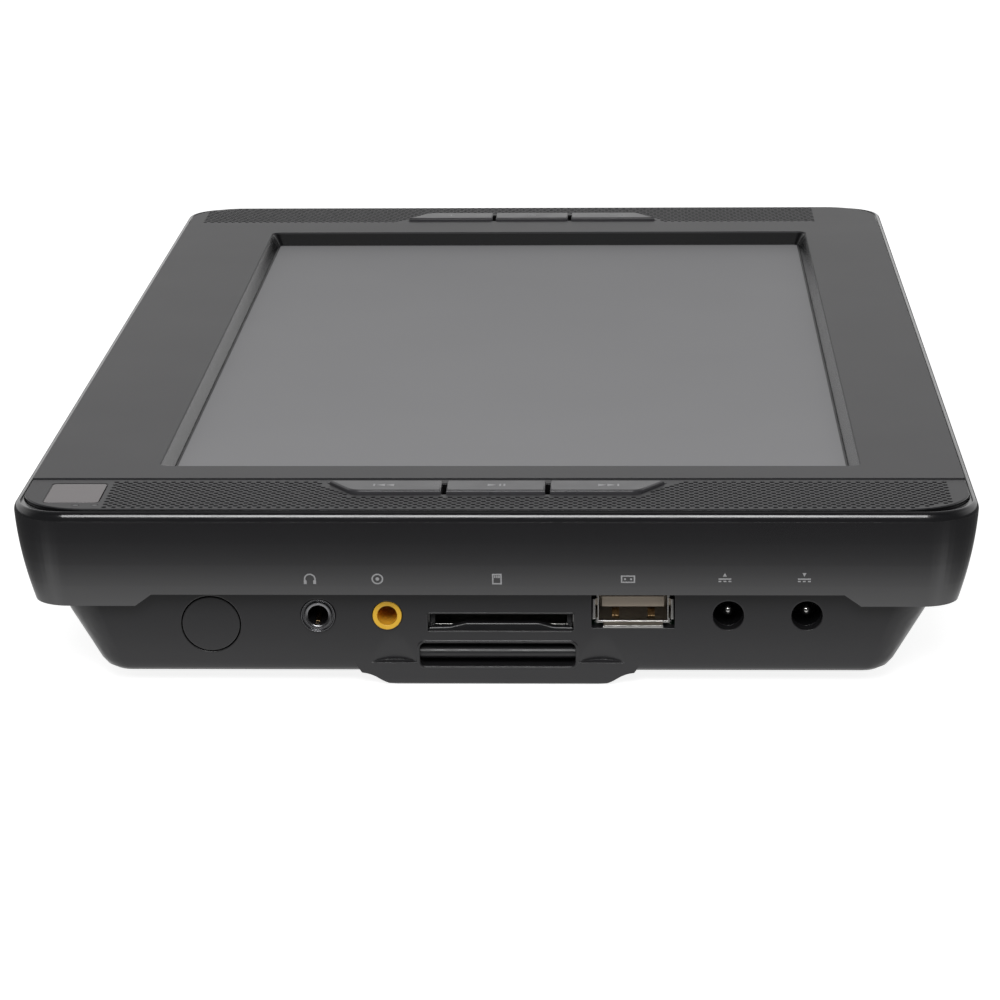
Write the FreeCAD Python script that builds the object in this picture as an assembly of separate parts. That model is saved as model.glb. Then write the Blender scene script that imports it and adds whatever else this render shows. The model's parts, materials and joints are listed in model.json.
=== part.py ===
"""Main unit of a dual-screen car disc player: clamshell lid with the screen, base with the disc deck.

Millimetres, +Z up. The unit lies on its back, screen up. The origin is the centre of its footprint,
on the flats of the two strap bosses. The sockets face -Y and the lid hinge runs along the +X side.
"""
import FreeCAD
import Part
import math
import os

V = FreeCAD.Vector

# Overall size
width = 172.1
length = 291.3
height = 35.0

# Lid shell: a skirt that curves in towards its lower edge
lid_corner_r = 10.0
skirt_height = 18.6
skirt_taper = 3.3
skirt_bulge_share = 0.34
lid_wall = 2.0
plate_t = 2.2
shelf_t = 1.4
shelf_depth = 7.0
notch_x = 0.5
notch_half = 61.6
notch_ramp = 3.0
notch_lift = 2.3

# Rim trim round the top plates: a curved bead and a groove
trim_width = 1.3
trim_curve_r = 1.7
trim_crown_width = 1.0
trim_shoulder = 0.1
trim_groove_depth = 1.0
plate_gap = 0.17
plate_corner_r = 12.0

# Screen
screen_offset_x = 1.9
screen_offset_y = -1.8
view_x = 125.7
view_y = 222.2
chamfer_width = 1.75
bezel_recess = 2.9
bezel_corner_r = 1.2
seam_gap = 0.3
glass_x = 134.0
glass_y = 229.0
glass_t = 1.2
module_x = 142.0
module_y = 236.0
module_t = 3.4
module_sheet = 0.6

# Speaker strips
strip_depth = 20.5
strip_drop = 0.2
hole_pitch = 2.4
hole_r = 0.75
grille_field_x = 26.0
grille_field_y = 9.0
speaker_x = 54.0
speaker_length = 43.0
speaker_depth = 18.0
speaker_flange_t = 1.2
cone_step = 1.0
cone_t = 0.4
magnet_r = 7.0

# Keys: three in a trapezoid, wide side towards the screen
keys_centre_x = 0.1
keys_wide_half = 30.6
keys_narrow_half = 25.6
keys_depth = 7.6
keys_margin = 3.1
key_split = 9.3
key_gap = 0.9
key_fit = 0.35
key_proud = 0.5
key_corner_r = 2.6
key_travel = 0.7
key_flange = 0.9
key_stem_r = 1.45
switch_size = 6.0
switch_t = 2.6
board_t = 1.2

# Infrared window and indicator pips on the near strip
window_x = -75.4
window_y_from_edge = 12.5
window_width = 9.8
window_length = 13.0
pip_x = (-74.2, -70.8)
pip_y_from_edge = 4.0
pip_r = 0.55

# Lid inner cover, screws, lock and power switch
seam_clearance = 0.4
cover_t = 1.6
cover_fit = 0.15
screw_r = 1.0
screw_head_r = 2.2
screw_head_t = 1.0
post_r = 2.8
lid_screws_y = (-88.0, 30.0, 88.0)
lock_knob_length = 14.0
lock_knob_height = 3.4
lock_travel = 4.0
lock_side_gap = 0.6
lock_tongue_t = 1.6
power_knob_length = 8.5
power_knob_height = 3.0
power_knob_proud = 0.9
power_travel = 3.0
power_from_near = 40.0
power_below_top = 8.0

# Base shell
boss_height = 2.5
base_rim_drop = 16.7
base_half_inset_x = 5.9
base_half_inset_y = 6.17
side_lean = 32.2
end_lean = 6.5
side_fillet = 4.7
end_fillet = 2.4
base_corner_r = 8.0
rim_chamfer = 0.4
base_wall = 2.4
base_floor_t = 2.2

# Strap bosses and slots at both ends
strap_x = 0.4
boss_flat_half = 18.0
boss_flare_half = 24.5
boss_depth = 24.0
boss_top_above_back = 7.5
boss_lip = 1.3
boss_sink = 0.02
scoop_from_middle = 18.6
scoop_r = 9.0
scoop_depth = 1.2
scoop_z = (2.2, 8.6)
strap_slot_width = 28.0
strap_slot_height = 4.5
strap_slot_bottom = 3.8
strap_slot_corner_r = 1.0
strap_pocket_depth = 13.0
strap_bar_r = 1.2
strap_bar_set_back = 2.5
pocket_wall = 1.4

# Deck and disc
deck_t = 1.7
deck_fit = 0.15
disc_r = 60.0
well_clearance = 2.0
well_depth = 4.6
well_wall = 1.6
finger_r = 12.0
finger_offset = 57.0
spindle_window_r = 16.5

# Case screws
case_screw_head_r = 2.5
case_screw_head_t = 1.8
case_post_r = 3.6
case_screws_x = 57.0
case_screws_y = (-116.0, -69.5, 116.0)

# Main board and sockets on the near wall
main_board_top = 10.8
main_board_t = 1.6
main_board_end = 73.5
lid_sensor_place = (-60.0, -90.0)
jack_z = 13.7
headphone_x = -31.7
headphone_ring_r = 3.05
headphone_bore_r = 1.8
av_x = -19.3
av_nose_r = 2.6
av_bore_r = 1.8
card_slot_width = 26.1
card_slot_height = 3.3
card_slot_x = 1.0
card_slot_z = 12.3
card_cage_width = 28.0
card_cage_depth = 27.0
usb_x = 24.7
usb_z = 14.85
usb_width = 13.1
usb_height = 5.7
usb_depth = 14.0
usb_wall = 0.4
usb_flare = 0.65
tongue_width = 11.1
tongue_t = 1.84
dc_x = (41.7, 55.7)
dc_bore_r = 2.75
dc_pin_r = 1.05
dc_pin_recess = 3.0
dc_body_width = 8.8
dc_body_depth = 13.0
plug_x = -51.0
plug_z = 12.0
plug_r = 5.4
plug_groove = 0.25
plug_collar_r = 4.4
plug_collar_t = 1.0

# Hinge
hinge_side_gap = 0.2
hinge_z = 15.6
knuckle_r = 1.8
hinge_pin_r = 0.9
hinge_running = 0.05
hinge_centre_y = 117.5
lid_knuckle_half = 2.7
base_knuckle_length = 4.0
knuckle_gap = 0.3

# Disc loader
chassis_top = 7.8
chassis_t = 1.2
chassis_half_x = 33.0
chassis_y = (-20.0, 106.0)
damper_r = 4.0
damper_neck_r = 2.5
damper_flange_t = 1.0
damper_bore_r = 1.35
rod_x = 20.5
rod_z = 10.0
rod_r = 1.2
rod_y = (9.0, 83.0)
rod_running = 0.06
screw_shaft_x = 26.4
screw_shaft_r = 1.4
sled_top = 11.8
sled_bottom = 8.5
sled_half_x = 18.0
lens_rest_y = 24.5
sled_travel = 33.0
sled_back = 13.5
bush_length = (18.0, 8.0)
sled_front = 12.0
sled_arc_r = 13.4
rotor_r = 10.5
platter_r = 12.5
platter_top = 15.2
hub_r = 7.35
hub_top = 17.9
motor_can_r = 4.6
motor_can_length = 10.0

# Heights and outlines worked out from the values above
half_w = width / 2
half_l = length / 2
top_z = height
skirt_z = top_z - skirt_height
shelf_z = top_z - plate_t
shelf_under_z = shelf_z - shelf_t
plate_inset = trim_width + plate_gap
plate_half_x = half_w - plate_inset
plate_half_y = half_l - plate_inset
strip_top = top_z - strip_drop
open_half_x = view_x / 2 + chamfer_width
open_half_y = view_y / 2 + chamfer_width
screen_centre = (screen_offset_x, screen_offset_y)
seam_y = plate_half_y - strip_depth - seam_gap
glass_top = top_z - bezel_recess
glass_under = glass_top - glass_t
module_under = glass_under - module_t
base_rim_z = top_z - base_rim_drop
back_z = boss_height
floor_z = back_z + base_floor_t
deck_under = base_rim_z - deck_t
well_floor = base_rim_z - well_depth
well_under = well_floor - well_wall
well_r = disc_r + well_clearance
cover_under = base_rim_z + seam_clearance
cover_top = cover_under + cover_t
board_under = main_board_top - main_board_t
keys_in = seam_y + keys_margin
keys_out = keys_in + keys_depth
lid_board_top = shelf_z - 7.4
key_stem_end = lid_board_top + switch_t - 0.4


# Basic solids


def box(x0, x1, y0, y1, z0, z1):
    """A box between two corners."""
    return Part.makeBox(x1 - x0, y1 - y0, z1 - z0, V(x0, y0, z0))


def post(x, y, z0, z1, radius):
    """A round post standing along Z."""
    return Part.makeCylinder(radius, z1 - z0, V(x, y, z0))


def peg(x, y, z0, z1, radius, sides=6):
    """A many-sided post: the plain form of the hidden ones that repeat."""
    turn = math.pi / sides
    corners = []
    for k in range(sides):
        angle = (2 * k + 1) * turn
        corners.append((x + radius * math.cos(angle) / math.cos(turn), y + radius * math.sin(angle) / math.cos(turn)))
    return prism_z(corners, z0, z1)


def screw(x, y, head_z, seat, tip, head_r):
    """A screw: its head, and its shank from the seat to the tip, above or below the head."""
    head = peg(x, y, min(head_z, seat), max(head_z, seat), head_r)
    shank = peg(x, y, min(seat, tip), max(seat, tip), screw_r * 0.9)
    return head.fuse(shank).removeSplitter()


def bar_y(x, z, y0, y1, radius):
    """A round bar lying along Y."""
    return Part.makeCylinder(radius, y1 - y0, V(x, y0, z), V(0, 1, 0))


def bar_x(y, z, x0, x1, radius):
    """A round bar lying along X."""
    return Part.makeCylinder(radius, x1 - x0, V(x0, y, z), V(1, 0, 0))


def prism(points, start, direction):
    """A flat outline, given as 3-D points, pushed along a direction."""
    corners = [V(*p) + start for p in points]
    face = Part.Face(Part.makePolygon(corners + corners[:1]))
    return face.extrude(direction)


def prism_y(points, y0, y1):
    """An outline of (x, z) points pushed from y0 to y1."""
    return prism([(x, y0, z) for x, z in points], V(0, 0, 0), V(0, y1 - y0, 0))


def prism_x(points, x0, x1):
    """An outline of (y, z) points pushed from x0 to x1."""
    return prism([(x0, y, z) for y, z in points], V(0, 0, 0), V(x1 - x0, 0, 0))


def prism_z(points, z0, z1):
    """An outline of (x, y) points pushed from z0 to z1."""
    return prism([(x, y, z0) for x, y in points], V(0, 0, 0), V(0, 0, z1 - z0))


def rounded_wire(half_x, half_y, radius, z, centre_x=0.0, centre_y=0.0):
    """A rectangle with rounded corners in a level plane, starting at the middle of its near side."""
    bend = radius * math.sqrt(0.5)
    inner_x = half_x - radius
    inner_y = half_y - radius
    start = V(centre_x, centre_y - half_y, z)
    edges = []
    last = start
    for turn, (sx, sy) in enumerate(((1, -1), (1, 1), (-1, 1), (-1, -1))):
        hub = V(centre_x + sx * inner_x, centre_y + sy * inner_y, z)
        flat = V(0, sy * radius, 0)
        side = V(sx * radius, 0, 0)
        first, second = (flat, side) if turn % 2 == 0 else (side, flat)
        edges.append(Part.LineSegment(last, hub + first).toShape())
        middle = hub + V(sx * bend, sy * bend, 0)
        edges.append(Part.Arc(hub + first, middle, hub + second).toShape())
        last = hub + second
    edges.append(Part.LineSegment(last, start).toShape())
    return Part.Wire(edges)


def cut_corner_wire(half_x, half_y, cut, z, centre_x=0.0, centre_y=0.0):
    """A rectangle with its corners cut off, in a level plane: the plain form of a hidden rounded one."""
    outline = ((half_x - cut, -half_y), (half_x, cut - half_y), (half_x, half_y - cut), (half_x - cut, half_y),
               (cut - half_x, half_y), (-half_x, half_y - cut), (-half_x, cut - half_y), (cut - half_x, -half_y))
    corners = [V(centre_x + x, centre_y + y, z) for x, y in outline]
    return Part.makePolygon(corners + corners[:1])


def rounded_plate(half_x, half_y, radius, z0, z1, centre_x=0.0, centre_y=0.0):
    """A level plate with rounded corners."""
    wire = rounded_wire(half_x, half_y, radius, z0, centre_x, centre_y)
    return Part.Face(wire).extrude(V(0, 0, z1 - z0))


def fuse_all(solids):
    """One solid from several that touch or overlap."""
    return solids[0].multiFuse(solids[1:]).removeSplitter()


def mirror_y(shape):
    """The same shape at the other end."""
    return shape.mirror(V(0, 0, 0), V(0, 1, 0))


def turned_end(shape):
    """The same shape at the other end, turned half a turn about Z."""
    copy = shape.copy()
    copy.rotate(V(0, 0, 0), V(0, 0, 1), 180)
    return copy


# Skirt curve


def circle_through(a, b, c):
    """Centre and radius of the circle through three (inset, z) points."""
    d = 2 * (a[0] * (b[1] - c[1]) + b[0] * (c[1] - a[1]) + c[0] * (a[1] - b[1]))
    aa, bb, cc = (p[0] ** 2 + p[1] ** 2 for p in (a, b, c))
    x = (aa * (b[1] - c[1]) + bb * (c[1] - a[1]) + cc * (a[1] - b[1])) / d
    z = (aa * (c[0] - b[0]) + bb * (a[0] - c[0]) + cc * (b[0] - a[0])) / d
    return x, z, math.hypot(a[0] - x, a[1] - z)


skirt_mid_z = (skirt_z + shelf_z) / 2
skirt_arc = circle_through((0.0, shelf_z), (skirt_taper * skirt_bulge_share, skirt_mid_z), (skirt_taper, skirt_z))


def skirt_inset(z, wall=0.0):
    """How far the skirt's outer face, or its inner one at a wall's depth, lies inside the widest outline."""
    x, zc, radius = skirt_arc
    return x - math.sqrt((radius - wall) ** 2 - (z - zc) ** 2)


hinge_x = half_w - skirt_inset(skirt_z, lid_wall) - knuckle_r - hinge_side_gap


def ring(profile_edges):
    """A profile of edges at x = 0 on the near side, swept round the lid's widest outline."""
    path = rounded_wire(half_w, half_l, lid_corner_r, 0.0)
    return path.makePipeShell([Part.Wire(profile_edges)], True, True)


def profile_line(a, b):
    """A straight profile edge between two (inset, z) points."""
    return Part.LineSegment(V(0, a[0] - half_l, a[1]), V(0, b[0] - half_l, b[1])).toShape()


def profile_arc(a, b, c):
    """A curved profile edge through three (inset, z) points."""
    p, q, r = (V(0, i - half_l, z) for i, z in (a, b, c))
    return Part.Arc(p, q, r).toShape()


# Leaning walls of the base


def base_inset(z, lean, fillet, bottom):
    """How far a leaning wall with a rounded foot lies inside its outline at the rim."""
    angle = math.radians(lean)
    arc_z = bottom + fillet
    tangent_z = arc_z - fillet * math.sin(angle)
    if z >= tangent_z:
        return (base_rim_z - z) * math.tan(angle)
    arc_in = (base_rim_z - tangent_z) * math.tan(angle) + fillet * math.cos(angle)
    return arc_in - math.sqrt(max(fillet ** 2 - (arc_z - z) ** 2, 0.0))


def base_half_x(z):
    """Half width of the base's outside at a height."""
    return half_w - base_half_inset_x - base_inset(z, side_lean, side_fillet, back_z)


def base_half_y(z):
    """Half length of the base's outside at a height."""
    return half_l - base_half_inset_y - base_inset(z, end_lean, end_fillet, back_z)


wall_across_x = base_wall / math.cos(math.radians(side_lean))
wall_across_y = base_wall / math.cos(math.radians(end_lean))


# Lid


lid_post_places = [(sx * (half_w - shelf_depth - 0.8), y) for sx in (-1, 1) for y in lid_screws_y]


def lid_shell():
    """Skirt, shelf under the top plates, screw posts, hinge knuckles and the openings in the walls."""
    under = (skirt_inset(shelf_under_z, lid_wall), shelf_under_z)
    low_in = (skirt_inset(skirt_z, lid_wall), skirt_z)
    mid_in = (skirt_inset(skirt_mid_z, lid_wall), skirt_mid_z)
    shell = ring([
        profile_arc((skirt_taper, skirt_z), (skirt_inset(skirt_mid_z), skirt_mid_z), (0.0, shelf_z)),
        profile_line((0.0, shelf_z), (shelf_depth, shelf_z)),
        profile_line((shelf_depth, shelf_z), (shelf_depth, shelf_under_z)),
        profile_line((shelf_depth, shelf_under_z), under),
        profile_arc(under, mid_in, low_in),
        profile_line(low_in, (skirt_taper, skirt_z)),
    ])
    adds = [peg(x, y, cover_top, shelf_under_z + 0.2, post_r) for x, y in lid_post_places]
    adds += power_switch_cradle()
    adds += [lid_knuckle(side) for side in (-1, 1)]
    shell = fuse_all([shell] + adds)
    notch_top = skirt_z + notch_lift
    notch_end = notch_half + notch_ramp
    notch = prism_y([
        (notch_x - notch_end, skirt_z - 1),
        (notch_x - notch_end, skirt_z),
        (notch_x - notch_half, notch_top),
        (notch_x + notch_half, notch_top),
        (notch_x + notch_end, skirt_z),
        (notch_x + notch_end, skirt_z - 1),
    ], -half_l - 1, -half_l + 10)
    cuts = [notch, lock_wall_slot(), power_wall_slot()]
    cuts += [peg(x, y, cover_top - 1, cover_top + 8, screw_r + 0.05) for x, y in lid_post_places]
    cuts += [post(x, near_y(pip_y_from_edge), shelf_under_z - 1, shelf_z + 1, pip_r + 0.1) for x in pip_x]
    cuts += [bar_y(hinge_x, hinge_z, y - 9, y + 9, hinge_pin_r + hinge_running) for y in (-hinge_centre_y, hinge_centre_y)]
    return shell.cut(Part.makeCompound(cuts))


def near_y(from_edge):
    """Y of a place given by its distance from the near edge."""
    return -half_l + from_edge


def lid_knuckle(side):
    """The lid's hinge knuckle, with its web up to the skirt."""
    y0 = side * hinge_centre_y - lid_knuckle_half
    y1 = side * hinge_centre_y + lid_knuckle_half
    wall_x = half_w - skirt_inset(skirt_z, lid_wall) + 0.9
    web = prism_y([
        (hinge_x, hinge_z + knuckle_r),
        (hinge_x, hinge_z - knuckle_r),
        (wall_x, skirt_z),
        (wall_x, skirt_z + 1.8),
        (hinge_x + 1.1, skirt_z + 1.8),
    ], y0, y1)
    return bar_y(hinge_x, hinge_z, y0, y1, knuckle_r).fuse(web)


def rim_trim():
    """Glossy curved bead round the lid's edge, with the floor of the groove between it and the top plates."""
    foot = shelf_z + trim_shoulder
    angle = math.acos(1 - trim_crown_width / trim_curve_r)
    middle = (trim_curve_r * (1 - math.cos(angle / 2)), foot + trim_curve_r * math.sin(angle / 2))
    crown = (trim_crown_width, foot + trim_curve_r * math.sin(angle))
    bead = ring([
        profile_line((trim_crown_width, shelf_z), (0.0, shelf_z)),
        profile_line((0.0, shelf_z), (0.0, foot)),
        profile_arc((0.0, foot), middle, crown),
        profile_line(crown, (trim_crown_width, shelf_z)),
    ])
    groove_z = top_z - trim_groove_depth
    under_bead = trim_crown_width / 2
    floor = rounded_plate(half_w - under_bead, half_l - under_bead, lid_corner_r - under_bead, shelf_z, groove_z)
    plates = rounded_plate(half_w - trim_width, half_l - trim_width, plate_corner_r + plate_gap, shelf_z, groove_z)
    return bead.fuse(floor.cut(plates)).removeSplitter()


def screen_bezel():
    """Flat plate round the screen, with a lip down to the glass and a sloping edge."""
    plate = box(-plate_half_x, plate_half_x, -seam_y, seam_y, shelf_z, top_z)
    lip_x = open_half_x + 1.0
    lip_y = open_half_y + 1.0
    x, y = screen_centre
    lip = box(x - lip_x, x + lip_x, y - lip_y, y + lip_y, glass_top, shelf_z)
    funnel = Part.makeLoft([
        rounded_wire(view_x / 2, view_y / 2, bezel_corner_r, glass_top, *screen_centre),
        rounded_wire(open_half_x, open_half_y, bezel_corner_r + 0.8, top_z, *screen_centre),
    ], True, True)
    return plate.fuse(lip).removeSplitter().cut(funnel)


def screen_glass():
    """Front glass of the screen."""
    return rounded_plate(glass_x / 2, glass_y / 2, 0.8, glass_under, glass_top, *screen_centre)


def screen_frame():
    """Folded metal tray behind the screen, with two mounting ears."""
    half_x = module_x / 2
    half_y = module_y / 2
    rim_z = glass_top - 0.4
    tray = rounded_plate(half_x, half_y, 1.5, module_under, rim_z, *screen_centre)
    low = rounded_plate(half_x - module_sheet, half_y - module_sheet, 1.0, module_under + module_sheet, rim_z,
                        *screen_centre)
    solids = [tray.cut(low)]
    for sy in (-1, 1):
        x0 = screen_offset_x - 4.0
        y0, y1 = sorted((sy * (half_y - 0.3), sy * (half_y + 2.6)))
        solids.append(box(x0, x0 + 8.0, screen_offset_y + y0, screen_offset_y + y1, module_under, module_under + 1.0))
    return fuse_all(solids)


def light_guide():
    """Clear backlight plate that fills the tray under the glass."""
    inset = module_sheet + 0.1
    return rounded_plate(module_x / 2 - inset, module_y / 2 - inset, 1.0, module_under + module_sheet, glass_under,
                         *screen_centre)


def strip_outline(z0, z1):
    """A speaker strip: square at the seam and rounded at the unit's end."""
    whole = rounded_plate(plate_half_x, plate_half_y, plate_corner_r, z0, z1)
    return whole.common(box(-half_w, half_w, -half_l, -seam_y - seam_gap, z0, z1))


def key_outline(first, last, inset, grow=0.0):
    """Outline of a key, or of the whole group, between two x places measured from the group's centre."""
    wide_y = -(keys_in - grow + inset)
    far_y = -(keys_out + grow - inset)
    slope = (keys_wide_half - keys_narrow_half) / keys_depth
    points = []
    for x, side in ((first, -1), (last, 1)):
        if x is None:
            edge = keys_wide_half + (grow - inset) * 1.1
            low = edge - slope * abs(far_y - wide_y)
            pair = [(side * edge, wide_y), (side * low, far_y)]
        else:
            pair = [(x, wide_y), (x, far_y)]
        points += pair if side < 0 else pair[::-1]
    return [(keys_centre_x + x, y) for x, y in points]


def key_solid(first, last, inset, z0, z1, grow=0.0):
    """A prism on a key outline."""
    return prism_z(key_outline(first, last, inset, grow), z0, z1)


key_spans = {
    "previous_key": (None, -key_split - key_gap / 2),
    "play_key": (-key_split + key_gap / 2, key_split - key_gap / 2),
    "next_key": (key_split + key_gap / 2, None),
}


def key_centre(first, last):
    """X of the middle of a key."""
    low = -keys_narrow_half if first is None else first
    high = keys_narrow_half if last is None else last
    return keys_centre_x + (low + high) / 2


def key(first, last):
    """A key cap with its retaining flange and its stem down into the key switch."""
    cap = key_solid(first, last, key_fit, shelf_z - 0.9, top_z + key_proud)
    if first is None or last is None:
        corner_y = -(keys_out - key_fit)
        sharp = [e for e in cap.Edges if abs(e.Vertexes[0].Z - e.Vertexes[-1].Z) > 1]
        outer = max(abs(e.Vertexes[0].X) for e in sharp if abs(e.Vertexes[0].Y - corner_y) < 0.01)
        chosen = [e for e in sharp if abs(e.Vertexes[0].Y - corner_y) < 0.01 and abs(e.Vertexes[0].X) > outer - 0.01]
        cap = cap.makeFillet(key_corner_r, chosen)
    x = key_centre(first, last)
    y = -(keys_in + keys_depth / 2)
    low = key_outline(first, last, key_fit)
    x_low = min(p[0] for p in low) + 0.3
    x_high = max(p[0] for p in low) - 0.3
    flange = box(x_low, x_high, -keys_out - key_flange, -keys_in + key_flange, shelf_z - 0.9, shelf_z - 0.1)
    stem = peg(x, y, key_stem_end, shelf_z - 0.5, key_stem_r)
    return fuse_all([cap, flange, stem])


def grille_holes():
    """Staggered six-sided holes over the near speaker."""
    column = hole_pitch * math.sqrt(3) / 2
    columns = int(grille_field_x / column)
    rows = int(grille_field_y / hole_pitch)
    centre_y = -(seam_y + plate_half_y) / 2
    holes = []
    for i in range(columns + 1):
        x = speaker_x + (i - columns / 2) * column
        for j in range(rows + 1 - i % 2):
            y = centre_y + (j - rows / 2 + 0.5 * (i % 2)) * hole_pitch
            corners = []
            for k in range(6):
                angle = math.radians(60 * k + 30)
                corners.append((x + hole_r * math.cos(angle), y + hole_r * math.sin(angle)))
            holes.append(prism_z(corners, shelf_z - 1, top_z + 1))
    return holes


def near_grille():
    """Near speaker strip, with its sound holes, key opening, window and pip holes."""
    strip = strip_outline(shelf_z, strip_top)
    cuts = grille_holes()
    cuts.append(key_solid(None, None, 0.0, shelf_z - 1, top_z + 1))
    cuts.append(window_block(0.1, shelf_z - 1, top_z + 1))
    cuts += [post(x, near_y(pip_y_from_edge), shelf_z - 1, top_z + 1, pip_r + 0.05) for x in pip_x]
    return strip.cut(Part.makeCompound(cuts))


def far_grille():
    """Far speaker strip: the same keys and holes, with no window."""
    strip = strip_outline(shelf_z, strip_top)
    cuts = [h.mirror(V(0, 0, 0), V(1, 0, 0)) for h in grille_holes()]
    cuts.append(key_solid(None, None, 0.0, shelf_z - 1, top_z + 1))
    return turned_end(strip.cut(Part.makeCompound(cuts)))


def window_block(grow, z0, z1):
    """A rounded block at the infrared window."""
    return rounded_plate(window_width / 2 + grow, window_length / 2 + grow, 0.8, z0, z1, window_x,
                         near_y(window_y_from_edge))


def infrared_window():
    """Smoked window, set in the strip and bearing on the shelf."""
    return window_block(0.0, shelf_z, strip_top - 0.05)


def indicator_pips():
    """Two light guides from the board up to the strip."""
    y = near_y(pip_y_from_edge)
    return [post(x, y, lid_board_top + 1.2, strip_top, pip_r) for x in pip_x]


def key_switches():
    """Three key switches on a board, each with the well that its key's stem enters."""
    switches = []
    half = switch_size / 2
    y = -(keys_in + keys_depth / 2)
    for first, last in key_spans.values():
        x = key_centre(first, last)
        case = box(x - half, x + half, y - half, y + half, lid_board_top, lid_board_top + switch_t)
        well = peg(x, y, lid_board_top + 0.8, lid_board_top + 9, key_stem_r + key_fit)
        switches.append(case.cut(well))
    return switches


def key_boards():
    """Near and far key boards; the near one runs on under the infrared window and the pips."""
    z0 = lid_board_top - board_t
    y_out = -(keys_out + 1.4)
    y_in = -(keys_in - 1.0)
    right = keys_centre_x + keys_wide_half + 1.0
    left = keys_centre_x - keys_wide_half - 1.0
    window_left = window_x - window_width / 2
    inset = skirt_inset(z0, lid_wall) + 0.4
    room = rounded_plate(half_w - inset, half_l - inset, lid_corner_r - inset, z0, lid_board_top)
    near = fuse_all([
        box(window_left, right, y_out, y_in, z0, lid_board_top),
        box(window_left, window_left + window_width + 2, -half_l, y_out, z0, lid_board_top),
    ]).common(room)
    far = turned_end(box(left, right, y_out, y_in, z0, lid_board_top))
    return [near, far]


def key_board_parts():
    """Key switches, infrared receiver and the two light sources."""
    parts = key_switches() + [turned_end(s) for s in key_switches()]
    y = near_y(window_y_from_edge)
    receiver = box(window_x - 2.6, window_x + 2.6, y - 1.4, y + 1.4, lid_board_top, lid_board_top + 5.0)
    dome = bar_y(window_x, lid_board_top + 3.4, y - 1.4, y + 1.4, 2.2)
    parts.append(receiver.fuse(dome).removeSplitter())
    for x in pip_x:
        y = near_y(pip_y_from_edge)
        parts.append(box(x - 0.8, x + 0.8, y - 0.6, y + 0.6, lid_board_top, lid_board_top + 1.1))
    return parts


def speaker_y():
    """Y of the near speaker's middle."""
    return -half_l + skirt_inset(shelf_under_z - 3, lid_wall) + 0.6 + speaker_depth / 2


def speaker_frame():
    """Near speaker: flange under the shelf, a step for the cone, tapering basket and magnet."""
    y = speaker_y()
    half_x = speaker_length / 2
    half_y = speaker_depth / 2
    flange_z = shelf_under_z - speaker_flange_t
    step_z = shelf_under_z - cone_step
    flange = rounded_plate(half_x, half_y, 4.0, flange_z, shelf_under_z, speaker_x, y)
    basket = Part.makeLoft([
        cut_corner_wire(half_x - 1.5, half_y - 1.0, 3.6, flange_z, speaker_x, y),
        cut_corner_wire(magnet_r + 1.5, magnet_r - 0.4, 2.9, flange_z - 4.0, speaker_x, y),
    ], True, True)
    hollow = Part.makeLoft([
        cut_corner_wire(half_x - 3.5, half_y - 2.8, 3.2, step_z, speaker_x, y),
        cut_corner_wire(magnet_r, magnet_r - 1.8, 2.3, flange_z - 3.0, speaker_x, y),
    ], True, True)
    recess = rounded_plate(half_x - 2.0, half_y - 1.6, 5.0, step_z, shelf_under_z + 1, speaker_x, y)
    magnet = post(speaker_x, y, flange_z - 6.2, flange_z - 3.9, magnet_r - 0.6)
    return fuse_all([flange, basket, magnet]).cut(hollow).cut(recess)


def speaker_cone():
    """Near speaker's cone, with a rim that rests on the basket's step."""
    y = speaker_y()
    half_x = speaker_length / 2
    half_y = speaker_depth / 2
    low = shelf_under_z - cone_step
    rim = rounded_plate(half_x - 2.2, half_y - 1.8, 4.8, low, low + cone_t, speaker_x, y)
    outer = Part.makeLoft([
        cut_corner_wire(half_x - 4.1, half_y - 3.4, 2.9, low, speaker_x, y),
        cut_corner_wire(4.6, 3.6, 1.8, low - 2.4, speaker_x, y),
    ], True, True)
    inner = Part.makeLoft([
        cut_corner_wire(half_x - 4.7, half_y - 4.0, 2.6, low + cone_t, speaker_x, y),
        cut_corner_wire(3.6, 2.8, 1.4, low - 2.4 + cone_t, speaker_x, y),
    ], True, True)
    return fuse_all([rim, outer]).cut(inner)


def lid_inner_cover():
    """Flat cover over the disc, closing the lid from below, with standoffs for the boards."""
    inset = skirt_inset(cover_under, lid_wall) + cover_fit
    corner = lid_corner_r - inset
    plate = rounded_plate(half_w - inset, half_l - inset, corner, cover_under, cover_top)
    board_z = lid_board_top - board_t
    key_y = keys_in + keys_depth / 2
    standoffs = []
    for x, y in ((-24.0, -key_y), (22.0, -key_y), (-66.0, -key_y), (-22.0, key_y), (24.0, key_y)):
        standoffs.append(peg(x, y, cover_top - 0.2, board_z, 2.5))
    for x in (-36.0, 36.0):
        for y in (-22.0, 22.0):
            standoffs.append(peg(x, y, cover_top - 0.2, cover_top + 2.2, 2.5))
    for sx in (-1, 1):
        for y in (-100.0, 0.0, 100.0):
            x = screen_offset_x + sx * (module_x / 2 - 8.0)
            standoffs.append(peg(x, y, cover_top - 0.2, module_under, 3.0))
    standoffs += lock_guides()
    cover = fuse_all([plate] + standoffs)
    cuts = [lock_cover_slot()]
    for x, y in lid_post_places:
        cuts.append(peg(x, y, cover_under - 1, cover_top + 1, screw_r + 0.1))
        cuts.append(peg(x, y, cover_under - 1, cover_under + screw_head_t, screw_head_r + 0.1))
    return cover.cut(Part.makeCompound(cuts))


def lid_screws():
    """Screws from the inner cover up into the lid's posts."""
    seat = cover_under + screw_head_t
    return [screw(x, y, cover_under + 0.1, seat, cover_top + 6.5, screw_head_r) for x, y in lid_post_places]


def lid_magnet():
    """Magnet on the inner cover that tells the board the lid is shut."""
    x, y = lid_sensor_place
    return box(x - 2.5, x + 2.5, y - 2.5, y + 2.5, cover_top, cover_top + 2.0)


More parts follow.
